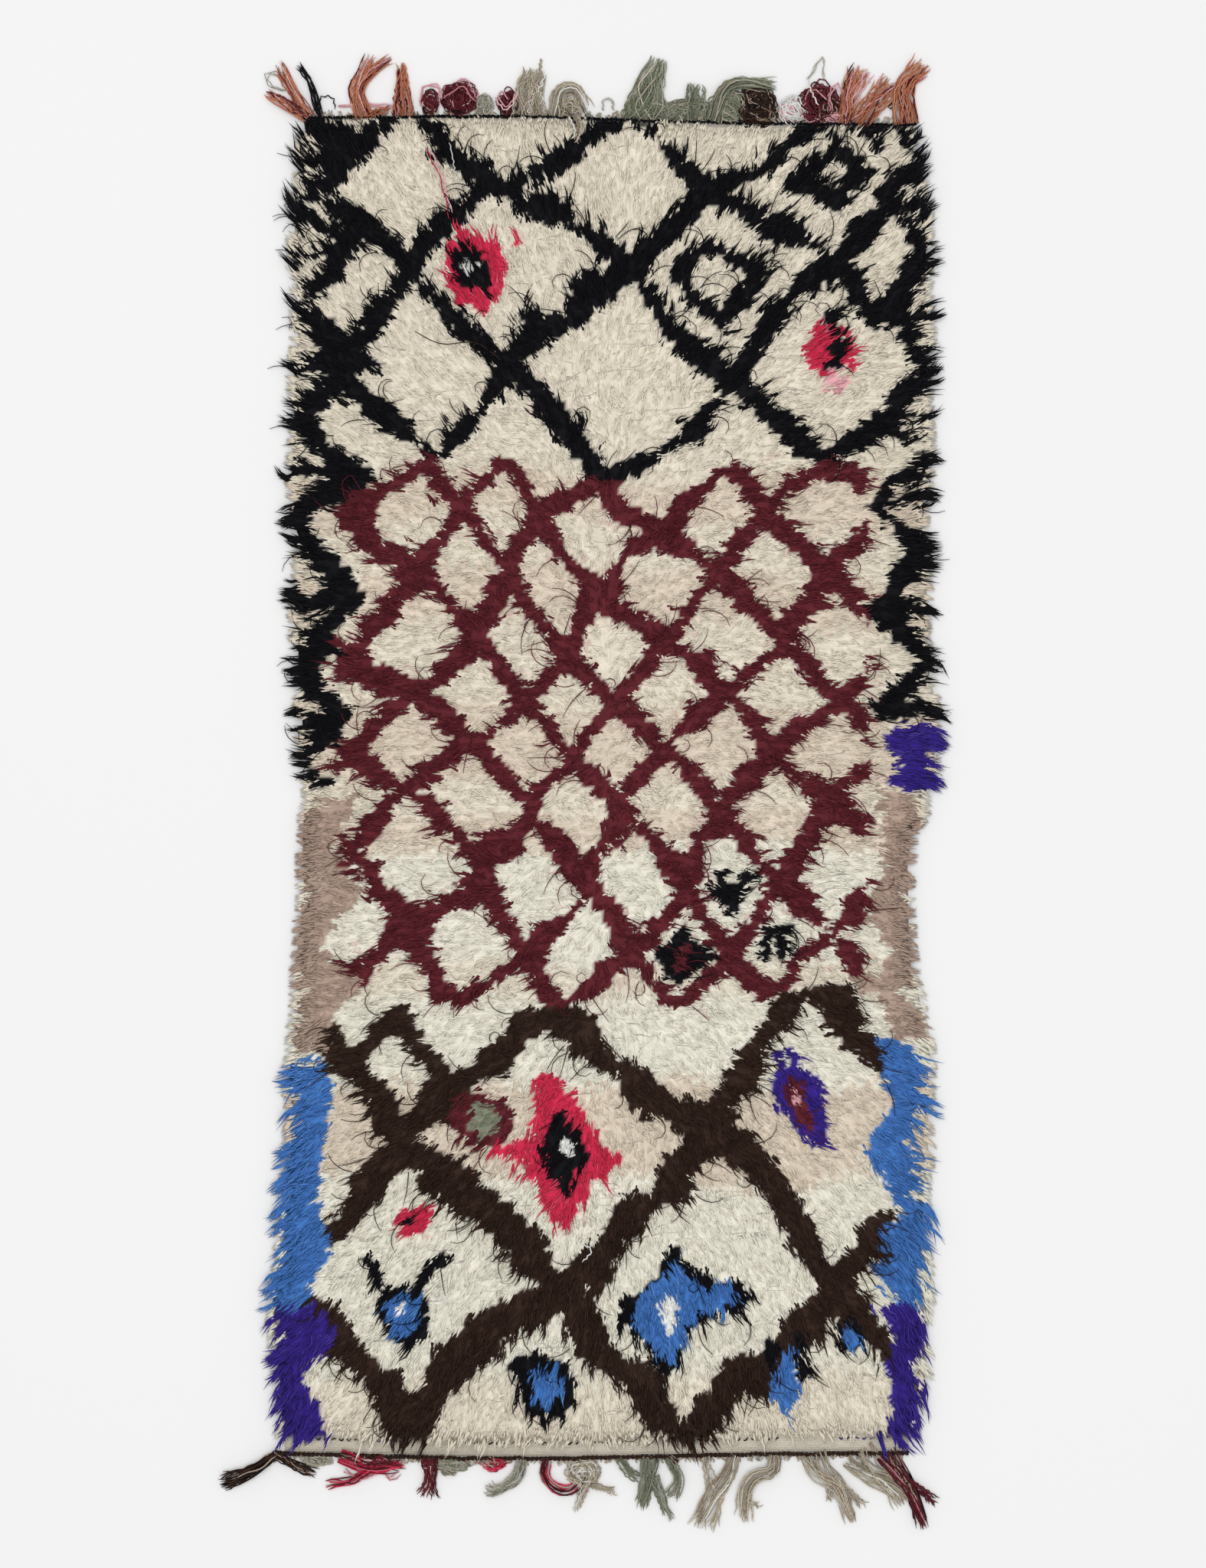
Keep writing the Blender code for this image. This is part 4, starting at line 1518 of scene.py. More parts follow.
@dataclass
class Ground:
    """The woven cloth that the knots are tied into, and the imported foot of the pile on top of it.

    Wefts and warps are counted in a metre. Flat is the cloth's width and length.
    """

    weave: Weave
    chart: Chart
    thickness: float = 0.0030
    side_inset: float = 0.014
    under_cord: float = 0.0034
    bare: float = 0.030
    wefts: float = 420.0
    warps: float = 210.0
    cloth_cells: tuple[int, int] = (66, 140)
    foot_cells: tuple[int, int] = (150, 318)
    foot_inset: float = 0.004
    flat: Place = (1.08, 2.265)

    def places(self, columns: int, rows: int, inset: float, low: float, high: float) -> tuple[Array, Array]:
        """Sets out a grid of places that follows the selvedges and the two cords.

        Args:
            columns: How many cells there are across.
            rows: How many cells there are along.
            inset: How far inside the pile's reach the grid ends.
            low: How far above the bottom cord's middle it starts.
            high: How far below the top cord's middle it ends.

        Returns:
            The places across and along, in the order of a grid's points.
        """
        share_x, share_y = np.meshgrid(np.linspace(0.0, 1.0, columns + 1), np.linspace(0.0, 1.0, rows + 1))
        share_x, share_y = share_x.ravel(), share_y.ravel()
        nought = np.zeros(share_x.shape)
        middle = self.weave.bottom(nought) * (1.0 - share_y) + self.weave.top(nought) * share_y
        wander = 0.003 * Slow(11, 0.10, 0.30, 4)(nought, middle)
        left = self.weave.left(middle) + inset + wander
        right = self.weave.right(middle) - inset + wander
        x = left + (right - left) * share_x
        bottom = self.weave.bottom(x) + low
        top = self.weave.top(x) - high
        return x, bottom + (top - bottom) * share_y

    def piece(
        self, name: str, cells: tuple[int, int], places: tuple[Array, Array], foot: float, top: Array
    ) -> bpy.types.Object:
        """Makes a closed slab from a grid of places.

        Args:
            name: The piece's name.
            cells: How many cells the grid has across and along.
            places: Where its points are, across and along.
            foot: The height of its underside.
            top: The height of its upper side at every point.

        Returns:
            The new piece.
        """
        bm = bmesh.new()
        bmesh.ops.create_grid(bm, x_segments=cells[0], y_segments=cells[1], size=0.5)
        upper = self.weave.placed(np.column_stack((*places, top)))
        for vert, place in zip(bm.verts, upper):
            vert.co = place
        rim = [edge for edge in bm.edges if edge.is_boundary]
        hem = bmesh.ops.extrude_edge_only(bm, edges=rim)["geom"]
        for vert in (item for item in hem if isinstance(item, bmesh.types.BMVert)):
            vert.co.z = foot
        bmesh.ops.holes_fill(bm, edges=[edge for edge in bm.edges if edge.is_boundary], sides=0)
        bmesh.ops.recalc_face_normals(bm, faces=bm.faces)
        mesh = bpy.data.meshes.new(name)
        bm.to_mesh(mesh)
        bm.free()
        mesh.shade_smooth()
        made = bpy.data.objects.new(name, mesh)
        bpy.context.scene.collection.objects.link(made)
        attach(made, BODY)
        LOG.info("%s: %d faces", name, len(mesh.polygons))
        return made

    def build(self) -> bpy.types.Object:
        """Builds and dresses the woven cloth.

        Returns:
            The piece.
        """
        cells = self.cloth_cells
        x, y = self.places(*cells, self.side_inset, self.under_cord, self.under_cord)
        top = self.thickness + 0.0004 * Slow(12, 0.08, 0.30)(x, y)
        cloth = self.piece("woven_ground", cells, (x, y), 0.0002, top)
        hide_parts(self.weave.body)
        points = self.points(cloth.data)
        x, y = points[:, 0], points[:, 1]
        drawn = self.chart.yarn_at(x / CM, y / CM)
        drawn[y < self.weave.bottom(x) + self.bare] = Yarn.CREAM.number
        self.write(cloth.data, "knot_tone", tones()[drawn])
        cloth.data.materials.append(self.cloth_material())
        return cloth

    def build_foot(self, pile: "Pile") -> bpy.types.Object:
        """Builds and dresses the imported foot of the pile.

        Args:
            pile: The pile that stands on it.

        Returns:
            The piece.
        """
        cells = self.foot_cells
        inset = self.side_inset + self.foot_inset
        x, y = self.places(*cells, inset, pile.bottom_strip - 0.002, pile.top_strip)
        above = y - pile.weave.bottom(x) - pile.bottom_strip
        ends = np.minimum(above, pile.weave.top(x) - y - pile.top_strip)
        edge = np.minimum(pile.weave.inset(x, y) - inset, ends + 0.002)
        share = np.interp(edge, (0.0, 0.010, 0.030), (0.34, 0.74, 0.87))
        lumps = 0.0005 * Slow(14, 0.012, 0.03, 9)(x, y)
        top = np.maximum(pile.surface(x, y) * share + lumps, self.thickness + 0.0006)
        foot = self.piece("pile_foot", cells, (x, y), self.thickness - 0.0006, top)
        points = self.points(foot.data)
        x, y = points[:, 0], points[:, 1]
        rng = np.random.default_rng(SEED + 1)
        out_x, out_y, _ = pile.lean(x, y, rng)
        self.write(foot.data, "knot_tone", tones()[pile.wool_of(x, y, rng)])
        turn = 2.0 * np.arctan2(out_y, out_x)
        comb = np.column_stack((0.5 + 0.5 * np.cos(turn), 0.5 + 0.5 * np.sin(turn), 0.0 * turn))
        self.write(foot.data, "comb", comb)
        foot.data.materials.append(self.foot_material())
        return foot

    def points(self, mesh: bpy.types.Mesh) -> Array:
        """Reads a mesh's points, counted from the middle of the weave."""
        points = np.empty(len(mesh.vertices) * 3)
        mesh.vertices.foreach_get("co", points)
        return points.reshape(-1, 3) - np.array((*self.weave.middle, 0.0))

    def write(self, mesh: bpy.types.Mesh, name: str, values: Array) -> None:
        """Writes three values for every point of a mesh.

        Args:
            mesh: The mesh.
            name: The attribute's name.
            values: One row of three for each point.
        """
        layer = mesh.color_attributes.new(name, "FLOAT_COLOR", "POINT")
        layer.data.foreach_set("color", np.column_stack((values, np.ones(len(values)))).ravel())

    def foot_material(self) -> bpy.types.Material:
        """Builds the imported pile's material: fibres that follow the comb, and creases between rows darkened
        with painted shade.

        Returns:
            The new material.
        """
        made, tree = started("packed_pile")
        where = tree.add("ShaderNodeTexCoord").outputs["Object"]
        comb = tree.group(Groups.combed_wool())
        tree.join(where, comb.inputs["Vector"])
        tree.join(tree.attribute("comb"), comb.inputs["Comb"])
        height = comb.outputs["Height"]
        colour = tree.mix("MULTIPLY", 1.0, tree.attribute("knot_tone"), tree.grey(comb.outputs["Shade"]))
        roughness = tree.remap(height, (0.3, 0.7), (0.96, 0.86))
        settings = {
            "Specular IOR Level": 0.12,
            "Sheen Weight": 0.12,
            "Sheen Roughness": SHEEN_ROUGHNESS,
        }
        tree.finish(colour, roughness, height, (0.7, 0.0030), settings)
        return made

    def cloth_material(self) -> bpy.types.Material:
        """Builds the cloth's material: plain weave, in the tones of the knots tied into it, with painted
        shade in the weave's hollows.

        Returns:
            The new material.
        """
        made, tree = started("woven_ground")
        where = tree.add("ShaderNodeTexCoord").outputs["Object"]
        weave = tree.group(Groups.plain_weave())
        tree.join(where, weave.inputs["Vector"])
        weave.inputs["Weft"].default_value = self.wefts
        weave.inputs["Warp"].default_value = self.warps
        patchy = tree.remap(tree.noise(where, (14.0, 30.0, 1.0), 3.0), (0.3, 0.7), (0.86, 1.04))
        fleck = tree.remap(tree.noise(where, (700.0, 260.0, 1.0), 2.0), (0.3, 0.7), (0.84, 1.06))
        # The cloth's shade mixes its random tone with the painted shade of the weave's hollows.
        shade = tree.math("MULTIPLY", tree.math("MULTIPLY", patchy, fleck), weave.outputs["Hollow Painted Shade"])
        colour = tree.mix("MULTIPLY", 1.0, tree.attribute("knot_tone"), tree.grey(shade))
        roughness = tree.remap(fleck, (0.84, 1.06), (0.96, 0.86))
        tree.finish(colour, roughness, weave.outputs["Height"], (0.8, 0.0012), {"Specular IOR Level": 0.15})
        return made


@dataclass
class HeaderCord:
    """The twined cord that closes one end: two plies turning round each other over the warp ends."""

    weave: Weave
    node: str
    slot: str
    yarn: Yarn
    radius: float = 0.0017
    turn_length: float = 0.0155
    rings: int = 420

    def build(self) -> bpy.types.Object:
        """Builds and dresses the cord along the line of its solid.

        Returns:
            The piece.
        """
        line = self.weave.cord_line(self.node)
        shares = tuple(np.linspace(0.0006, 0.9994, self.rings))
        ply = Filament(6, shares, tuple(0.9 + 0.1 * np.abs(np.sin(np.arange(self.rings) * 0.9))))
        stations = ply.stations()
        x = line[0, 0] + (line[-1, 0] - line[0, 0]) * stations
        y = np.interp(x, line[:, 0], line[:, 1]) + 0.0007 * Slow(13, 0.02, 0.09)(x, 0.0 * x)
        turns = math.tau * (x - x[0]) / self.turn_length
        lines = []
        for start in (0.0, math.pi):
            angle = turns + start + 0.3 * np.sin(x * 55.0)
            across = y + self.radius * np.cos(angle)
            height = 2.0 * self.radius + 0.0001 + self.radius * np.sin(angle)
            lines.append(np.column_stack((x, across, np.maximum(height, self.radius))))
        lay = Lay(ply, np.array(lines), np.array((self.radius, self.radius * 0.96)), np.array((0.42, 0.58)))
        name = self.node.replace("header_cord", "twined_cord")
        piece = joined(name, [lay], self.weave)
        WOOLS[self.yarn].dress(piece, self.slot, plied=True)
        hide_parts(self.node)
        LOG.info("%s: %d triangles", name, len(piece.data.polygons))
        return piece


# ---------------------------------------------------------------------------------------------
# The fringes, and the yarns that lie loose on the pile
# ---------------------------------------------------------------------------------------------


@dataclass(frozen=True)
class Hank:
    """Yarns that run together: the places they pass from root to tip, and the hank's two widths.

    Places and sizes are in centimetres.
    """

    yarn: Yarn
    places: tuple[Place, ...]
    widths: Place
    yarns: int
    crimp: float = 0.15
    lift: float = 0.0
    gauge: float = 0.115
    fray: float = 0.45

    def middle_line(self, shares: Array) -> Array:
        """Draws the hank's smooth middle line.

        Args:
            shares: The shares of its length wanted.

        Returns:
            A row of across and along for each share, in centimetres.
        """
        points = np.array(self.places, dtype=float)
        if len(points) == 2:
            points = np.insert(points, 1, points.mean(axis=0), axis=0)
        padded = np.vstack((2 * points[0] - points[1], points, 2 * points[-1] - points[-2]))
        fine = []
        for k in range(1, len(padded) - 2):
            before, first, last, after = padded[k - 1 : k + 3]
            for t in np.linspace(0.0, 1.0, 13)[:-1]:
                slope = (last - before) * t + (2 * before - 5 * first + 4 * last - after) * t**2
                fine.append(first + 0.5 * (slope + (3 * first - before - 3 * last + after) * t**3))
        fine.append(points[-1])
        fine = np.array(fine)
        run = np.concatenate(([0.0], np.cumsum(np.linalg.norm(np.diff(fine, axis=0), axis=1))))
        wanted = shares * run[-1]
        return np.column_stack([np.interp(wanted, run, fine[:, k]) for k in (0, 1)])

    def lines(self, stations: Array, rng: np.random.Generator) -> Array:
        """Lays the hank's yarns beside and on each other.

        Args:
            stations: The shares of a yarn's length where its line must be known.
            rng: Where the unevenness comes from.

        Returns:
            A row of points for each yarn, in metres.
        """
        length = float(np.sum(np.linalg.norm(np.diff(np.array(self.places, dtype=float), axis=0), axis=1)))
        width = self.widths[0] + (self.widths[1] - self.widths[0]) * stations
        laid = []
        for number in range(self.yarns):
            end = 1.0 - min(0.30, 1.9 / length) * rng.random() ** 1.5 if self.yarns > 2 else 1.0
            middle = self.middle_line(stations * end)
            ahead = np.gradient(middle, axis=0)
            ahead /= np.linalg.norm(ahead, axis=1, keepdims=True) + 1e-9
            spot = (number + 0.5) / self.yarns - 0.5 + rng.normal(0.0, 0.06)
            swap = 0.25 * np.sin(stations * rng.uniform(2.0, 5.0) + rng.uniform(0.0, math.tau))
            offset = np.clip(spot + swap, -0.5, 0.5) * (width if self.yarns > 1 else 0.0)
            if self.yarns > 2:
                offset = offset + rng.normal(0.0, self.fray) * stations**4
            pace = math.tau * length / rng.uniform(0.7, 1.5)
            offset = offset + self.crimp * np.sin(pace * stations + rng.uniform(0.0, math.tau))
            tallest = min(0.9, 0.22 * math.sqrt(self.yarns))
            mound = tallest * np.sqrt(np.clip(1.0 - (1.8 * spot) ** 2, 0.05, 1.0))
            pace = math.tau * length / rng.uniform(0.9, 1.8)
            ripple = 1.0 + np.sin(pace * stations + rng.uniform(0.0, math.tau))
            height = mound * rng.uniform(0.1, 1.0) + 0.6 * self.crimp * ripple
            height = self.lift + self.gauge + height * np.clip(1.25 - 0.75 * stations, 0.3, 1.0)
            place = middle + np.column_stack((-ahead[:, 1], ahead[:, 0])) * offset[:, None]
            laid.append(np.column_stack((place, height)))
        return CM * np.array(laid)


@dataclass(frozen=True)
class Tangle:
    """Yarn bunched up in loops over a rounded patch. Places and sizes are in centimetres."""

    yarn: Yarn
    middle: Place
    across: float
    along: float
    yarns: int
    rise: float = 0.9
    lift: float = 0.0
    gauge: float = 0.115

    def lines(self, stations: Array, rng: np.random.Generator) -> Array:
        """Lays the loops over each other.

        Args:
            stations: The shares of a yarn's length where its line must be known.
            rng: Where the unevenness comes from.

        Returns:
            A row of points for each yarn, in metres.
        """
        laid = []
        for _ in range(self.yarns):
            start = rng.uniform(0.0, math.tau)
            sweep = rng.uniform(0.6, 1.1) * math.tau * rng.choice((-1.0, 1.0))
            turn = start + sweep * stations
            size = rng.uniform(0.25, 0.62)
            off = rng.uniform(0.0, 0.95 - size)
            way = rng.uniform(0.0, math.tau)
            wobble = size * (1.0 + 0.22 * np.sin(3.0 * turn + rng.uniform(0.0, math.tau)))
            x = off * math.cos(way) + wobble * np.cos(turn)
            y = off * math.sin(way) + wobble * np.sin(turn)
            out = np.clip(1.0 - x**2 - y**2, 0.0, 1.0)
            height = self.rise * np.sqrt(out) * rng.uniform(0.15, 1.0) * (0.8 + 0.2 * np.sin(2.0 * turn))
            place = (self.middle[0] + self.across * x, self.middle[1] + self.along * y)
            laid.append(np.column_stack((*place, self.lift + self.gauge + height)))
        return CM * np.array(laid)


TOP_FRINGE: tuple[Hank | Tangle, ...] = (
    Hank(Yarn.ORANGE, ((-50, 115), (-54, 116), (-57.4, 118)), (1.6, 1.2), 9),
    Hank(Yarn.ORANGE, ((-50, 115), (-53, 119), (-55.4, 123)), (1.6, 1.4), 9),
    Hank(Yarn.GREY, ((-53, 118), (-56.4, 119), (-57, 121), (-54, 121)), (0.5, 0.5), 2, gauge=0.09),
    Hank(Yarn.BLACK, ((-48, 115), (-50, 120), (-52, 123)), (0.9, 0.4), 4),
    Hank(Yarn.BLACK, ((-48, 115), (-48, 117), (-46, 117), (-45.5, 115)), (0.2, 0.2), 1, gauge=0.12),
    Hank(Yarn.PINK, ((-45, 115.4), (-40, 115.8), (-34, 115.2)), (0.5, 0.5), 2, gauge=0.13),
    Hank(Yarn.ORANGE, ((-40.5, 114.6), (-42, 118), (-40.5, 121), (-38.5, 124)), (2.0, 1.8), 12),
    Hank(Yarn.ORANGE, ((-40.3, 114.6), (-41.5, 118), (-39, 121.5), (-35.8, 123.8)), (1.4, 1.2), 7),
    Hank(Yarn.ORANGE, ((-41, 115.4), (-36, 115.2)), (1.0, 0.8), 5),
    Hank(Yarn.ORANGE, ((-34, 114), (-34, 118), (-34, 123)), (2.8, 0.6), 12),
    Hank(Yarn.MAROON, ((-34, 114), (-34.6, 117), (-34, 121)), (2.2, 0.5), 4),
    Tangle(Yarn.MAROON, (-29.4, 117), 1.8, 2.5, 14),
    Hank(Yarn.PINK, ((-31, 115.5), (-30.6, 118.6), (-28, 118.9), (-27.6, 116)), (0.4, 0.4), 2, gauge=0.12),
    Tangle(Yarn.MAROON, (-24.4, 117), 3.4, 3.6, 36, rise=1.2),
    Hank(Yarn.PINK, ((-27, 116.6), (-24, 118.6), (-21.6, 116)), (0.3, 0.3), 1, lift=1.0, gauge=0.12),
    Tangle(Yarn.GREY, (-20, 116.2), 1.7, 2.2, 12),
    Tangle(Yarn.MAROON, (-16.2, 116), 2.2, 2.9, 15),
    Hank(Yarn.PINK, ((-18.2, 117), (-16.4, 115), (-14.4, 118)), (0.5, 0.5), 2, lift=0.7, gauge=0.12),
    Hank(Yarn.BEIGE, ((-12.6, 113.4), (-12.6, 118), (-11.5, 122)), (4.4, 2.6), 20, crimp=0.22),
    Hank(Yarn.BEIGE, ((-11, 120), (-10.5, 123.7)), (0.5, 0.2), 2),
    Hank(Yarn.BEIGE, ((-8, 113.8), (-7.4, 118), (-4.6, 118.2), (-3.6, 113.8)), (1.8, 1.8), 11, crimp=0.2),
    Tangle(Yarn.BEIGE, (-5.8, 116), 2.3, 2.1, 9),
    Hank(Yarn.BEIGE, ((-5, 114), (-4.5, 111), (-5, 109)), (1.4, 1.0), 5, lift=1.5, gauge=0.12),
    Hank(Yarn.GREY, ((0, 114.8), (0, 116.6), (1.5, 116.6), (1.7, 114.8)), (0.4, 0.3), 2, gauge=0.12),
    Hank(Yarn.SAGE, ((7.4, 113.4), (7.8, 118), (9.9, 123.7)), (6.6, 1.2), 26),
    Hank(Yarn.SAGE, ((4.6, 113.6), (5.6, 117), (8, 120)), (2.4, 1.0), 8),
    Hank(Yarn.SAGE, ((11.5, 115), (14, 115.6), (17.4, 115.4)), (1.4, 1.4), 8),
    Hank(Yarn.SAGE, ((15.6, 115), (15.6, 119.6)), (2.8, 2.0), 9),
    Hank(Yarn.SAGE, ((18.8, 113.6), (20.6, 118), (24, 119.6), (29.6, 119.2)), (2.0, 1.4), 14),
    Tangle(Yarn.SAGE, (7.0, 115.2), 4.4, 2.2, 16),
    Tangle(Yarn.SAGE, (14.4, 114.8), 4.6, 2.2, 20),
    Tangle(Yarn.SAGE, (21.4, 115.4), 3.8, 3.2, 22),
    Tangle(Yarn.BROWN, (26.0, 115.2), 4.4, 4.2, 34),
    Tangle(Yarn.WHITE, (32, 114.8), 2.8, 2.8, 13),
    Tangle(Yarn.PINK, (32, 114.6), 2.5, 2.3, 9),
    Tangle(Yarn.MAROON, (36.6, 116), 4.0, 4.2, 24),
    Tangle(Yarn.BROWN, (38.2, 117), 2.8, 3.2, 12),
    Hank(Yarn.GREY, ((34.7, 120), (37.2, 124), (37.4, 120)), (0.3, 0.3), 2, gauge=0.09),
    Hank(Yarn.WHITE, ((34.6, 120), (35, 118.4), (36.4, 115.4)), (0.2, 0.2), 1, lift=1.0, gauge=0.12),
    Hank(Yarn.PINK, ((38.7, 114.6), (38.4, 117.4), (39.6, 119.2), (40.8, 117.4)), (0.4, 0.4), 2, lift=0.6),
    Tangle(Yarn.PINK, (39.2, 113.8), 2.7, 1.1, 9),
    Hank(Yarn.ORANGE, ((40.7, 113.6), (42, 118), (44, 122.4)), (1.4, 3.0), 17),
    Tangle(Yarn.MAROON, (41.3, 121), 1.0, 1.1, 6),
    Hank(Yarn.ORANGE, ((42.8, 113.2), (45.6, 115.6), (49.3, 119.8)), (2.5, 3.2), 15),
    Hank(Yarn.BROWN, ((48.6, 115), (49.8, 116), (49, 116.4), (48.4, 115.2)), (0.3, 0.3), 1, gauge=0.14),
    Hank(Yarn.ORANGE, ((51.4, 112.8), (51, 118.4), (54.8, 123)), (3.0, 2.2), 18),
    Hank(Yarn.MAROON, ((51.4, 113), (51, 118), (52.5, 120.6)), (1.4, 0.9), 5),
)

BOTTOM_FRINGE: tuple[Hank | Tangle, ...] = (
    Hank(Yarn.BROWN, ((-55.5, -115), (-59.7, -116), (-65.2, -118.4)), (0.9, 1.8), 13),
    Tangle(Yarn.BEIGE, (-56, -114.6), 1.0, 0.9, 7),
    Hank(Yarn.BROWN, ((-56, -114), (-52, -115.2), (-48.3, -116.6)), (1.2, 1.0), 8),
    Tangle(Yarn.GREY, (-48.5, -115.8), 2.8, 1.2, 13),
    Hank(Yarn.CRIMSON, ((-44.7, -114.8), (-39, -115.5), (-33.4, -114.9)), (1.6, 1.5), 11),
    Tangle(Yarn.MAROON, (-39, -115.4), 5.0, 1.2, 14),
    Hank(Yarn.PINK, ((-44, -116), (-41, -117.3), (-38, -116.2), (-36, -117.3), (-34, -116)), (0.7, 0.5), 3),
    Hank(Yarn.CRIMSON, ((-37.4, -115.8), (-42.5, -117.5), (-47.3, -118.2)), (0.8, 1.2), 7),
    Hank(Yarn.MAROON, ((-29.6, -115), (-30, -118), (-31, -120.6)), (1.4, 0.8), 5),
    Hank(Yarn.MAROON, ((-29, -115), (-29, -118), (-28.6, -121)), (1.4, 0.8), 5),
    Tangle(Yarn.MAROON, (-29.5, -116.4), 1.6, 1.4, 8),
    Tangle(Yarn.GREY, (-25.6, -116), 3.8, 1.3, 14),
    Tangle(Yarn.SAGE, (-26, -118.6), 1.8, 1.9, 11),
    Tangle(Yarn.CRIMSON, (-18.6, -114.9), 2.6, 1.5, 12),
    Hank(Yarn.GREY, ((-13.9, -114.6), (-14.7, -117), (-18, -119.2), (-20.2, -118.8)), (1.2, 1.5), 9),
    Tangle(Yarn.GREY, (-19.8, -118.9), 0.9, 0.9, 6),
    Hank(Yarn.CRIMSON, ((-9.5, -114.4), (-10, -116.7), (-8, -119), (-5, -119), (-2.6, -115)), (1.2, 1.2), 7),
    Tangle(Yarn.BEIGE, (-3.5, -116.8), 3.5, 2.9, 22),
    Hank(Yarn.BEIGE, ((-3.2, -118), (-3.8, -120.4), (-4.8, -123.4)), (1.6, 0.3), 6),
    Hank(Yarn.BEIGE, ((-2, -118.4), (2.6, -119.9)), (1.0, 0.3), 4),
    Hank(Yarn.SAGE, ((2.7, -114.4), (4.5, -116.4), (6.6, -117.6)), (1.2, 1.2), 6),
    Hank(Yarn.SAGE, ((7.9, -114.2), (7.4, -118), (6.5, -122.8)), (2.2, 1.2), 11),
    Hank(Yarn.SAGE, ((8.4, -117), (9.8, -120.6), (11.7, -124.5)), (1.4, 0.6), 6),
    Hank(Yarn.SAGE, ((11.1, -114.8), (12.7, -117.5), (11.4, -121)), (1.2, 1.3), 7),
    Tangle(Yarn.MAROON, (12, -115), 1.0, 0.9, 4),
    Hank(Yarn.BEIGE, ((17.4, -113.8), (18, -117), (18.2, -120.4)), (1.2, 1.2), 6),
    Hank(Yarn.BEIGE, ((22.5, -113.2), (21, -116.9), (18.6, -120.4), (16.3, -126)), (1.2, 3.0), 12),
    Hank(Yarn.BEIGE, ((29, -113.6), (28.6, -116), (25.6, -117), (24, -119.6), (24, -125)), (1.5, 1.6), 10),
    Hank(Yarn.BEIGE, ((24, -120.6), (26.9, -122.4)), (0.8, 0.4), 3),
    Hank(Yarn.BEIGE, ((35.5, -113.4), (36.8, -116.2), (39.9, -118.8), (42.4, -124.9)), (3.4, 0.8), 13),
    Hank(Yarn.BEIGE, ((40, -118), (44.6, -122.4)), (1.2, 0.5), 5),
    Hank(Yarn.BEIGE, ((38, -117), (38.6, -121.4)), (1.0, 0.4), 4),
    Hank(Yarn.BEIGE, ((43, -113.4), (46, -116.5), (49.3, -119.4), (51, -122)), (4.6, 1.8), 17),
    Hank(Yarn.MAROON, ((47.8, -113), (50.2, -116.4), (52.3, -119.7), (54.6, -126)), (2.6, 1.0), 15),
    Hank(Yarn.BEIGE, ((48.6, -113.4), (51, -117.4), (53.5, -122)), (1.4, 0.5), 4),
    Hank(Yarn.MAROON, ((51.8, -117.4), (54.8, -119.9), (56.7, -122)), (1.2, 0.5), 6),
)

# Running stitches on the bare strip, in centimetres: how far apart they are, and how far from the
# bottom cord, and where each row begins and ends.
STITCH_PITCH = 1.3
STITCH_RISE = 2.6
STITCHED: tuple[tuple[Yarn, float, float], ...] = (
    (Yarn.BLACK, -50.0, -42.0),
    (Yarn.INDIGO, -41.0, -35.0),
    (Yarn.BLACK, -26.0, -10.0),
    (Yarn.BLACK, -6.0, 4.0),
    (Yarn.BLACK, 16.0, 30.0),
    (Yarn.INDIGO, 40.0, 48.0),
)

# The other wools that are found among the threads of a bundle.
MIXED: dict[Yarn, tuple[Yarn, ...]] = {
    Yarn.ORANGE: (Yarn.MAROON, Yarn.PINK),
    Yarn.MAROON: (Yarn.BLACK, Yarn.PINK),
    Yarn.CRIMSON: (Yarn.MAROON, Yarn.MAROON, Yarn.GREY),
    Yarn.BEIGE: (Yarn.WHITE, Yarn.GREY, Yarn.TAUPE),
    Yarn.SAGE: (Yarn.GREY, Yarn.BEIGE),
    Yarn.GREY: (Yarn.BEIGE, Yarn.SAGE),
    Yarn.BROWN: (Yarn.BLACK, Yarn.BLACK, Yarn.TAUPE),
}


def warp_ends(weave: Weave) -> tuple[Hank, ...]:
    """Leaves short knotted ends of the warps along both cords.

    Args:
        weave: The weave, whose cords they come out of.

    Returns:
        A little hank for each pair of warps.
    """
    rng = np.random.default_rng(SEED + 3)
    ends = []
    for line, way, low, high in ((weave.bottom_line, -1.0, 0.7, 1.3), (weave.top_line, 1.0, 0.5, 1.8)):
        for x in np.arange(line[0, 0] / CM + 0.8, line[-1, 0] / CM - 0.8, 0.95):
            across = x + rng.normal(0.0, 0.2)
            along = float(np.interp(across * CM, line[:, 0], line[:, 1])) / CM
            tip = (across + rng.normal(0.0, 0.5), along + way * rng.uniform(low, high))
            yarn = (Yarn.BEIGE, Yarn.TAUPE, Yarn.BEIGE, Yarn.GREY)[int(rng.integers(4))]
            ends.append(Hank(yarn, ((across, along), tip), (0.6, 0.7), 2, crimp=0.14))
    return tuple(ends)


def stitches(weave: Weave) -> tuple[Hank, ...]:
    """Sews the rows of running stitches.

    Args:
        weave: The weave, whose bottom cord they run beside.

    Returns:
        A short yarn for each stitch.
    """
    sewn = []
    for yarn, first, last in STITCHED:
        for x in np.arange(first, last, STITCH_PITCH):
            along = float(weave.bottom(x * CM)) / CM + STITCH_RISE
            places = ((x, along), (x + 0.8, along + 0.1))
            sewn.append(Hank(yarn, places, (0.1, 0.1), 1, lift=0.30, gauge=0.11))
    return tuple(sewn)


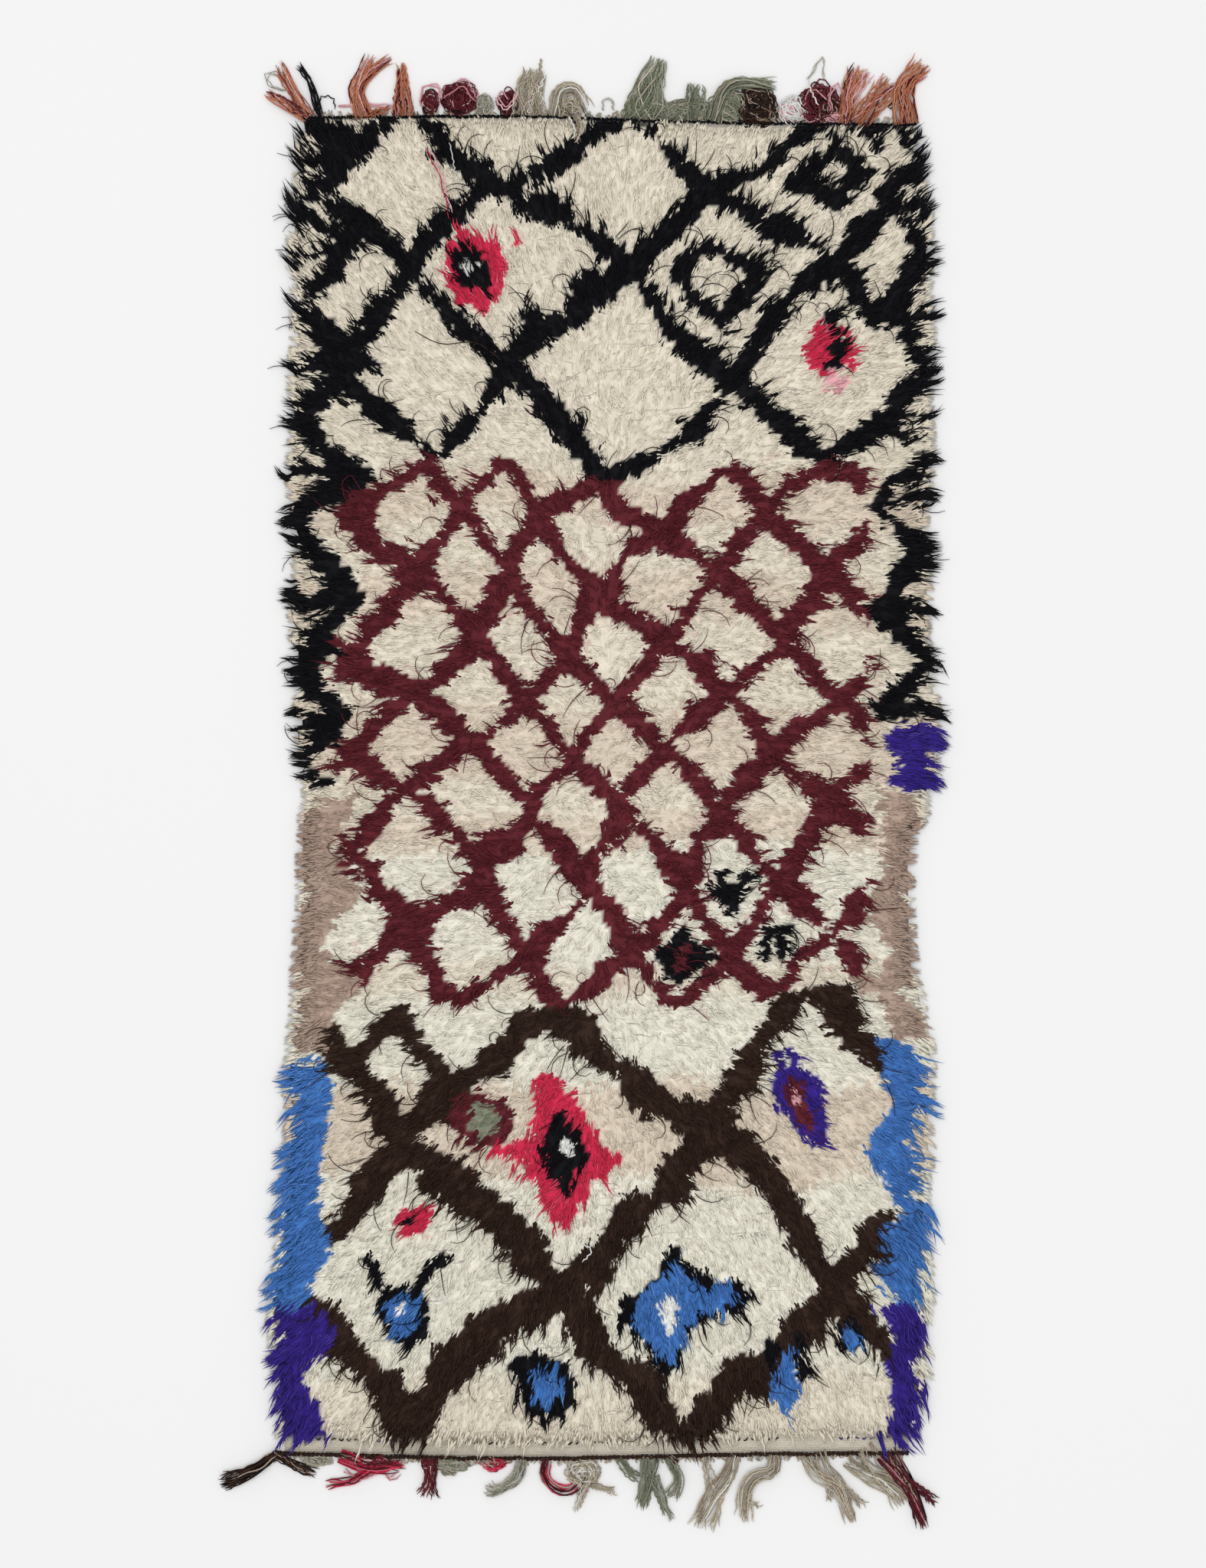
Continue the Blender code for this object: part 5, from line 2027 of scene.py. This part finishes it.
LOOSE_YARNS: tuple[Hank | Tangle, ...] = (
    Hank(Yarn.CRIMSON, ((-30, 108), (-27.6, 103), (-26, 96)), (0.4, 0.4), 1, lift=1.7, gauge=0.11),
    Hank(Yarn.PINK, ((-29.4, 108), (-27.2, 103), (-25.6, 97)), (0.4, 0.4), 1, lift=1.7, gauge=0.11),
    Hank(Yarn.WHITE, ((-26, 109), (-25.4, 106), (-25, 103)), (0.3, 0.3), 1, lift=1.7, gauge=0.10),
    Hank(Yarn.WHITE, ((-4, -77), (-2, -78.4), (-3.6, -80.4)), (0.3, 0.3), 1, lift=1.7, gauge=0.10),
    Hank(Yarn.WHITE, ((-29, -86), (-27, -87), (-26, -85)), (0.3, 0.3), 1, lift=1.7, gauge=0.10),
    Hank(Yarn.BROWN, ((-32, 77), (-27, 75), (-21, 75), (-17, 72)), (0.3, 0.3), 1, lift=1.7, gauge=0.07),
)


@dataclass
class YarnWork:
    """Yarns of several wools, laid as one piece for each wool.

    Replaced is the node whose place the pieces take. A bundle of it gets fuller and broader than its
    table says, and a mixed share of its threads are of other wools.
    """

    weave: Weave
    name: str
    slot: str
    bundles: tuple[Hank | Tangle, ...]
    replaced: str = ""
    root_gap: float = 2.5
    fuller: float = 1.9
    broader: float = 1.3
    mixed: float = 0.22
    crimson_mixed: float = 2.2
    hank_yarn: Filament = Filament(4, tuple(np.linspace(0.004, 0.985, 12)), (0.75, *(1.0,) * 10, 0.35))
    loop_yarn: Filament = Filament(4, tuple(np.linspace(0.01, 0.99, 14)), (0.8, *(1.0,) * 12, 0.8))

    def rooted(self, bundle: Hank | Tangle) -> Hank | Tangle:
        """Brings a bundle's root down to its cord, and fills it out.

        Args:
            bundle: The bundle as its table has it.

        Returns:
            The bundle as it is laid.
        """
        if not self.replaced:
            return bundle
        line = self.weave.top if self.replaced.endswith("top") else self.weave.bottom
        if isinstance(bundle, Tangle):
            cord = float(line(bundle.middle[0] * CM)) / CM
            away = bundle.middle[1] - cord
            near = math.copysign(min(abs(away), 0.85 * bundle.along), away)
            full = round(self.fuller * bundle.yarns)
            return replace(bundle, middle=(bundle.middle[0], cord + near), yarns=full)
        if bundle.yarns < 4:
            return bundle
        (x, y), *rest = bundle.places
        cord = float(line(x * CM)) / CM
        start = cord if abs(y - cord) < self.root_gap else y
        widths = (self.broader * bundle.widths[0], self.broader * bundle.widths[1])
        full = round(self.fuller * bundle.yarns)
        return replace(bundle, places=((x, start), *rest), widths=widths, yarns=full)

    def build(self) -> list[bpy.types.Object]:
        """Builds and dresses the yarns.

        Returns:
            One piece for each wool.
        """
        rng = np.random.default_rng(SEED + len(self.bundles))
        lays: dict[Yarn, list[Lay]] = {}
        for bundle in map(self.rooted, self.bundles):
            tube = self.hank_yarn if isinstance(bundle, Hank) else self.loop_yarn
            lines = bundle.lines(tube.stations(), rng)
            radius = CM * bundle.gauge * rng.uniform(0.85, 1.15, len(lines))
            shade = np.clip(rng.normal(0.5, 0.26, len(lines)), 0.05, 0.95)
            others = MIXED.get(bundle.yarn, ()) if len(lines) > 5 else ()
            share = self.mixed if bundle.yarn is not Yarn.CRIMSON else self.crimson_mixed * self.mixed
            drawn = np.where(rng.random(len(lines)) < share, rng.integers(0, 6, len(lines)), -1)
            place = np.where(drawn < 0, 0, 1 + drawn % len(others)) if others else np.zeros(len(lines))
            for order, yarn in enumerate((bundle.yarn, *others)):
                mine = place == order
                if np.any(mine):
                    lay = Lay(tube, lines[mine], radius[mine], shade[mine])
                    lays.setdefault(yarn, []).append(lay)
        pieces = []
        for yarn, mine in lays.items():
            name = f"{self.name}_{yarn.value}"
            piece = joined(name, mine, self.weave)
            WOOLS[yarn].dress(piece, self.slot, plied=True)
            pieces.append(piece)
            LOG.info("%s: %d triangles", name, len(piece.data.polygons))
        if self.replaced:
            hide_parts(self.replaced)
        return pieces


@dataclass
class Strays:
    """Thin wiry hairs that have worked loose from the dark wools and lie curled over the pile."""

    weave: Weave
    chart: Chart
    count: int = 1350
    tries: int = 12
    margin: float = 0.02
    lengths: Place = (0.030, 0.070)
    radius: float = 0.00095
    hair: Filament = Filament(3, tuple(np.linspace(0.02, 0.98, 6)), (0.8, 1.0, 1.0, 0.9, 0.8, 0.5))

    def build(self, pile: Pile) -> list[bpy.types.Object]:
        """Builds and dresses the hairs.

        Args:
            pile: The pile that they grow out of.

        Returns:
            One piece for each dark wool.
        """
        rng = np.random.default_rng(SEED + 7)
        x = rng.uniform(-0.53, 0.53, self.tries * self.count)
        y = rng.uniform(-1.09, 1.11, self.tries * self.count)
        inside = self.weave.inset(x, y) > self.margin
        x, y = x[inside], y[inside]
        wool = self.chart.yarn_at(x / CM, y / CM)
        pieces = []
        for yarn, share in ((Yarn.BLACK, 0.40), (Yarn.BROWN, 0.32), (Yarn.MAROON, 0.28)):
            mine = np.flatnonzero(wool == yarn.number)[: int(share * self.count)]
            lay = self.lay(pile, x[mine], y[mine], rng)
            name = f"stray_hairs_{yarn.value}"
            piece = joined(name, [lay], self.weave)
            WOOLS[yarn].dress(piece, "wool_pile")
            pieces.append(piece)
            LOG.info("%s: %d triangles", name, len(piece.data.polygons))
        return pieces

    def lay(self, pile: Pile, x: Array, y: Array, rng: np.random.Generator) -> Lay:
        """Curls a hair out of each place.

        Args:
            pile: The pile that they grow out of.
            x: Places across.
            y: Places along.
            rng: Where the unevenness comes from.

        Returns:
            The hairs, ready to be joined.
        """
        out_x, out_y, _ = pile.lean(x, y, rng)
        turn = np.arctan2(out_y, out_x) + rng.normal(0.0, 0.5, x.shape)
        curl = rng.normal(0.0, 1.9, x.shape)
        length = rng.uniform(*self.lengths, x.shape)
        stations = self.hair.stations()
        steps = np.diff(stations, prepend=0.0)
        heading = turn[:, None] + curl[:, None] * stations[None, :] ** 1.5
        px = x[:, None] + np.cumsum(np.cos(heading) * steps * length[:, None], axis=1)
        py = y[:, None] + np.cumsum(np.sin(heading) * steps * length[:, None], axis=1)
        climb = np.interp(stations, (0.0, 0.15, 0.6, 1.0), (0.75, 1.10, 1.20, 1.06))
        rise = pile.surface(px, py) * climb[None, :]
        lines = np.stack((px, py, np.maximum(rise, 0.003)), axis=2)
        return Lay(self.hair, lines, np.full(len(x), self.radius), rng.uniform(0.3, 0.7, len(x)))


# ---------------------------------------------------------------------------------------------
# The studio
# ---------------------------------------------------------------------------------------------


@dataclass
class Studio:
    """A pale floor, soft light from above, and a camera that looks straight down."""

    weave: Weave
    height: float = 5.0
    view_length: float = 2.6624
    aim: Place = (-0.0006, 0.0052)
    floor_size: float = 7.0

    def build(self) -> None:
        """Sets up the whole studio."""
        self.floor()
        self.camera()
        self.lights()

    def floor(self) -> None:
        """Lays the floor just under the rug."""
        bm = bmesh.new()
        bmesh.ops.create_grid(bm, x_segments=8, y_segments=8, size=self.floor_size)
        mesh = bpy.data.meshes.new("studio_floor")
        bm.to_mesh(mesh)
        bm.free()
        mesh.transform(Matrix.Translation((0.0, 0.0, -0.0004)))
        floor = bpy.data.objects.new("studio_floor", mesh)
        bpy.context.scene.collection.objects.link(floor)
        made, tree = started("studio_floor")
        shader = tree.add("ShaderNodeBsdfPrincipled")
        shader.inputs["Base Color"].default_value = (0.86, 0.86, 0.86, 1.0)
        shader.inputs["Specular IOR Level"].default_value = 0.1
        where = tree.add("ShaderNodeTexCoord").outputs["Object"]
        cloudy = tree.noise(where, (3.0, 3.0, 3.0), 2.0)
        tree.join(tree.remap(cloudy, (0.3, 0.7), (0.9, 1.0)), shader.inputs["Roughness"])
        out = tree.add("ShaderNodeOutputMaterial")
        tree.join(shader.outputs[0], out.inputs["Surface"])
        mesh.materials.append(made)

    def camera(self) -> None:
        """Hangs the camera over the middle of the weave."""
        data = bpy.data.cameras.new("camera")
        data.sensor_width = 36.0
        data.lens = 36.0 * self.height / self.view_length
        data.clip_end = 40.0
        camera = bpy.data.objects.new("camera", data)
        bpy.context.scene.collection.objects.link(camera)
        x = self.weave.middle[0] + self.aim[0]
        y = self.weave.middle[1] + self.aim[1]
        camera.location = (x, y, self.height)
        bpy.context.scene.camera = camera

    def lights(self) -> None:
        """Adds the large soft light, the fill and the surrounding white."""
        for name, place, size, power in (
            ("light_key", (-2.2, 2.6, 7.0), 2.0, 100.0),
            ("light_fill", (2.2, -2.0, 7.0), 5.0, 80.0),
        ):
            data = bpy.data.lights.new(name, "AREA")
            data.size = size
            data.energy = power
            light = bpy.data.objects.new(name, data)
            bpy.context.scene.collection.objects.link(light)
            light.location = place
            light.rotation_euler = (-Vector(place)).to_track_quat("-Z", "Y").to_euler()
        world = bpy.data.worlds.new("studio")
        world.use_nodes = True
        world.node_tree.nodes["Background"].inputs["Color"].default_value = (1.0, 1.0, 1.0, 1.0)
        world.node_tree.nodes["Background"].inputs["Strength"].default_value = 0.80
        bpy.context.scene.world = world
        bpy.context.scene.view_settings.view_transform = "Standard"


def main() -> None:
    """Builds the rug piece by piece, then the studio, and reports each piece."""
    logging.basicConfig(level=logging.INFO, format="%(message)s")
    weave = Weave()
    chart = Chart()
    ground = Ground(weave, chart)
    pile = Pile(weave, chart)
    cloth = ground.build()
    carried = [ground.build_foot(pile)]
    carried += pile.build()
    carried += Strays(weave, chart).build(pile)
    carried.append(HeaderCord(weave, weave.top_cord, "cord_top", Yarn.BLACK).build())
    carried.append(HeaderCord(weave, weave.bottom_cord, "cord_bottom", Yarn.BROWN, 0.0021).build())
    carried += YarnWork(weave, "fringe_top", "tassel_yarn_top", TOP_FRINGE, "fringe_top").build()
    carried += YarnWork(weave, "fringe_bottom", "tassel_yarn_bottom", BOTTOM_FRINGE, "fringe_bottom").build()
    carried += YarnWork(weave, "loose_yarn", "wool_pile", LOOSE_YARNS).build()
    carried += YarnWork(weave, "warp_end", "wool_pile", warp_ends(weave)).build()
    carried += YarnWork(weave, "stitch", "wool_pile", stitches(weave)).build()
    Studio(weave).build()


if __name__ == "__main__":
    main()
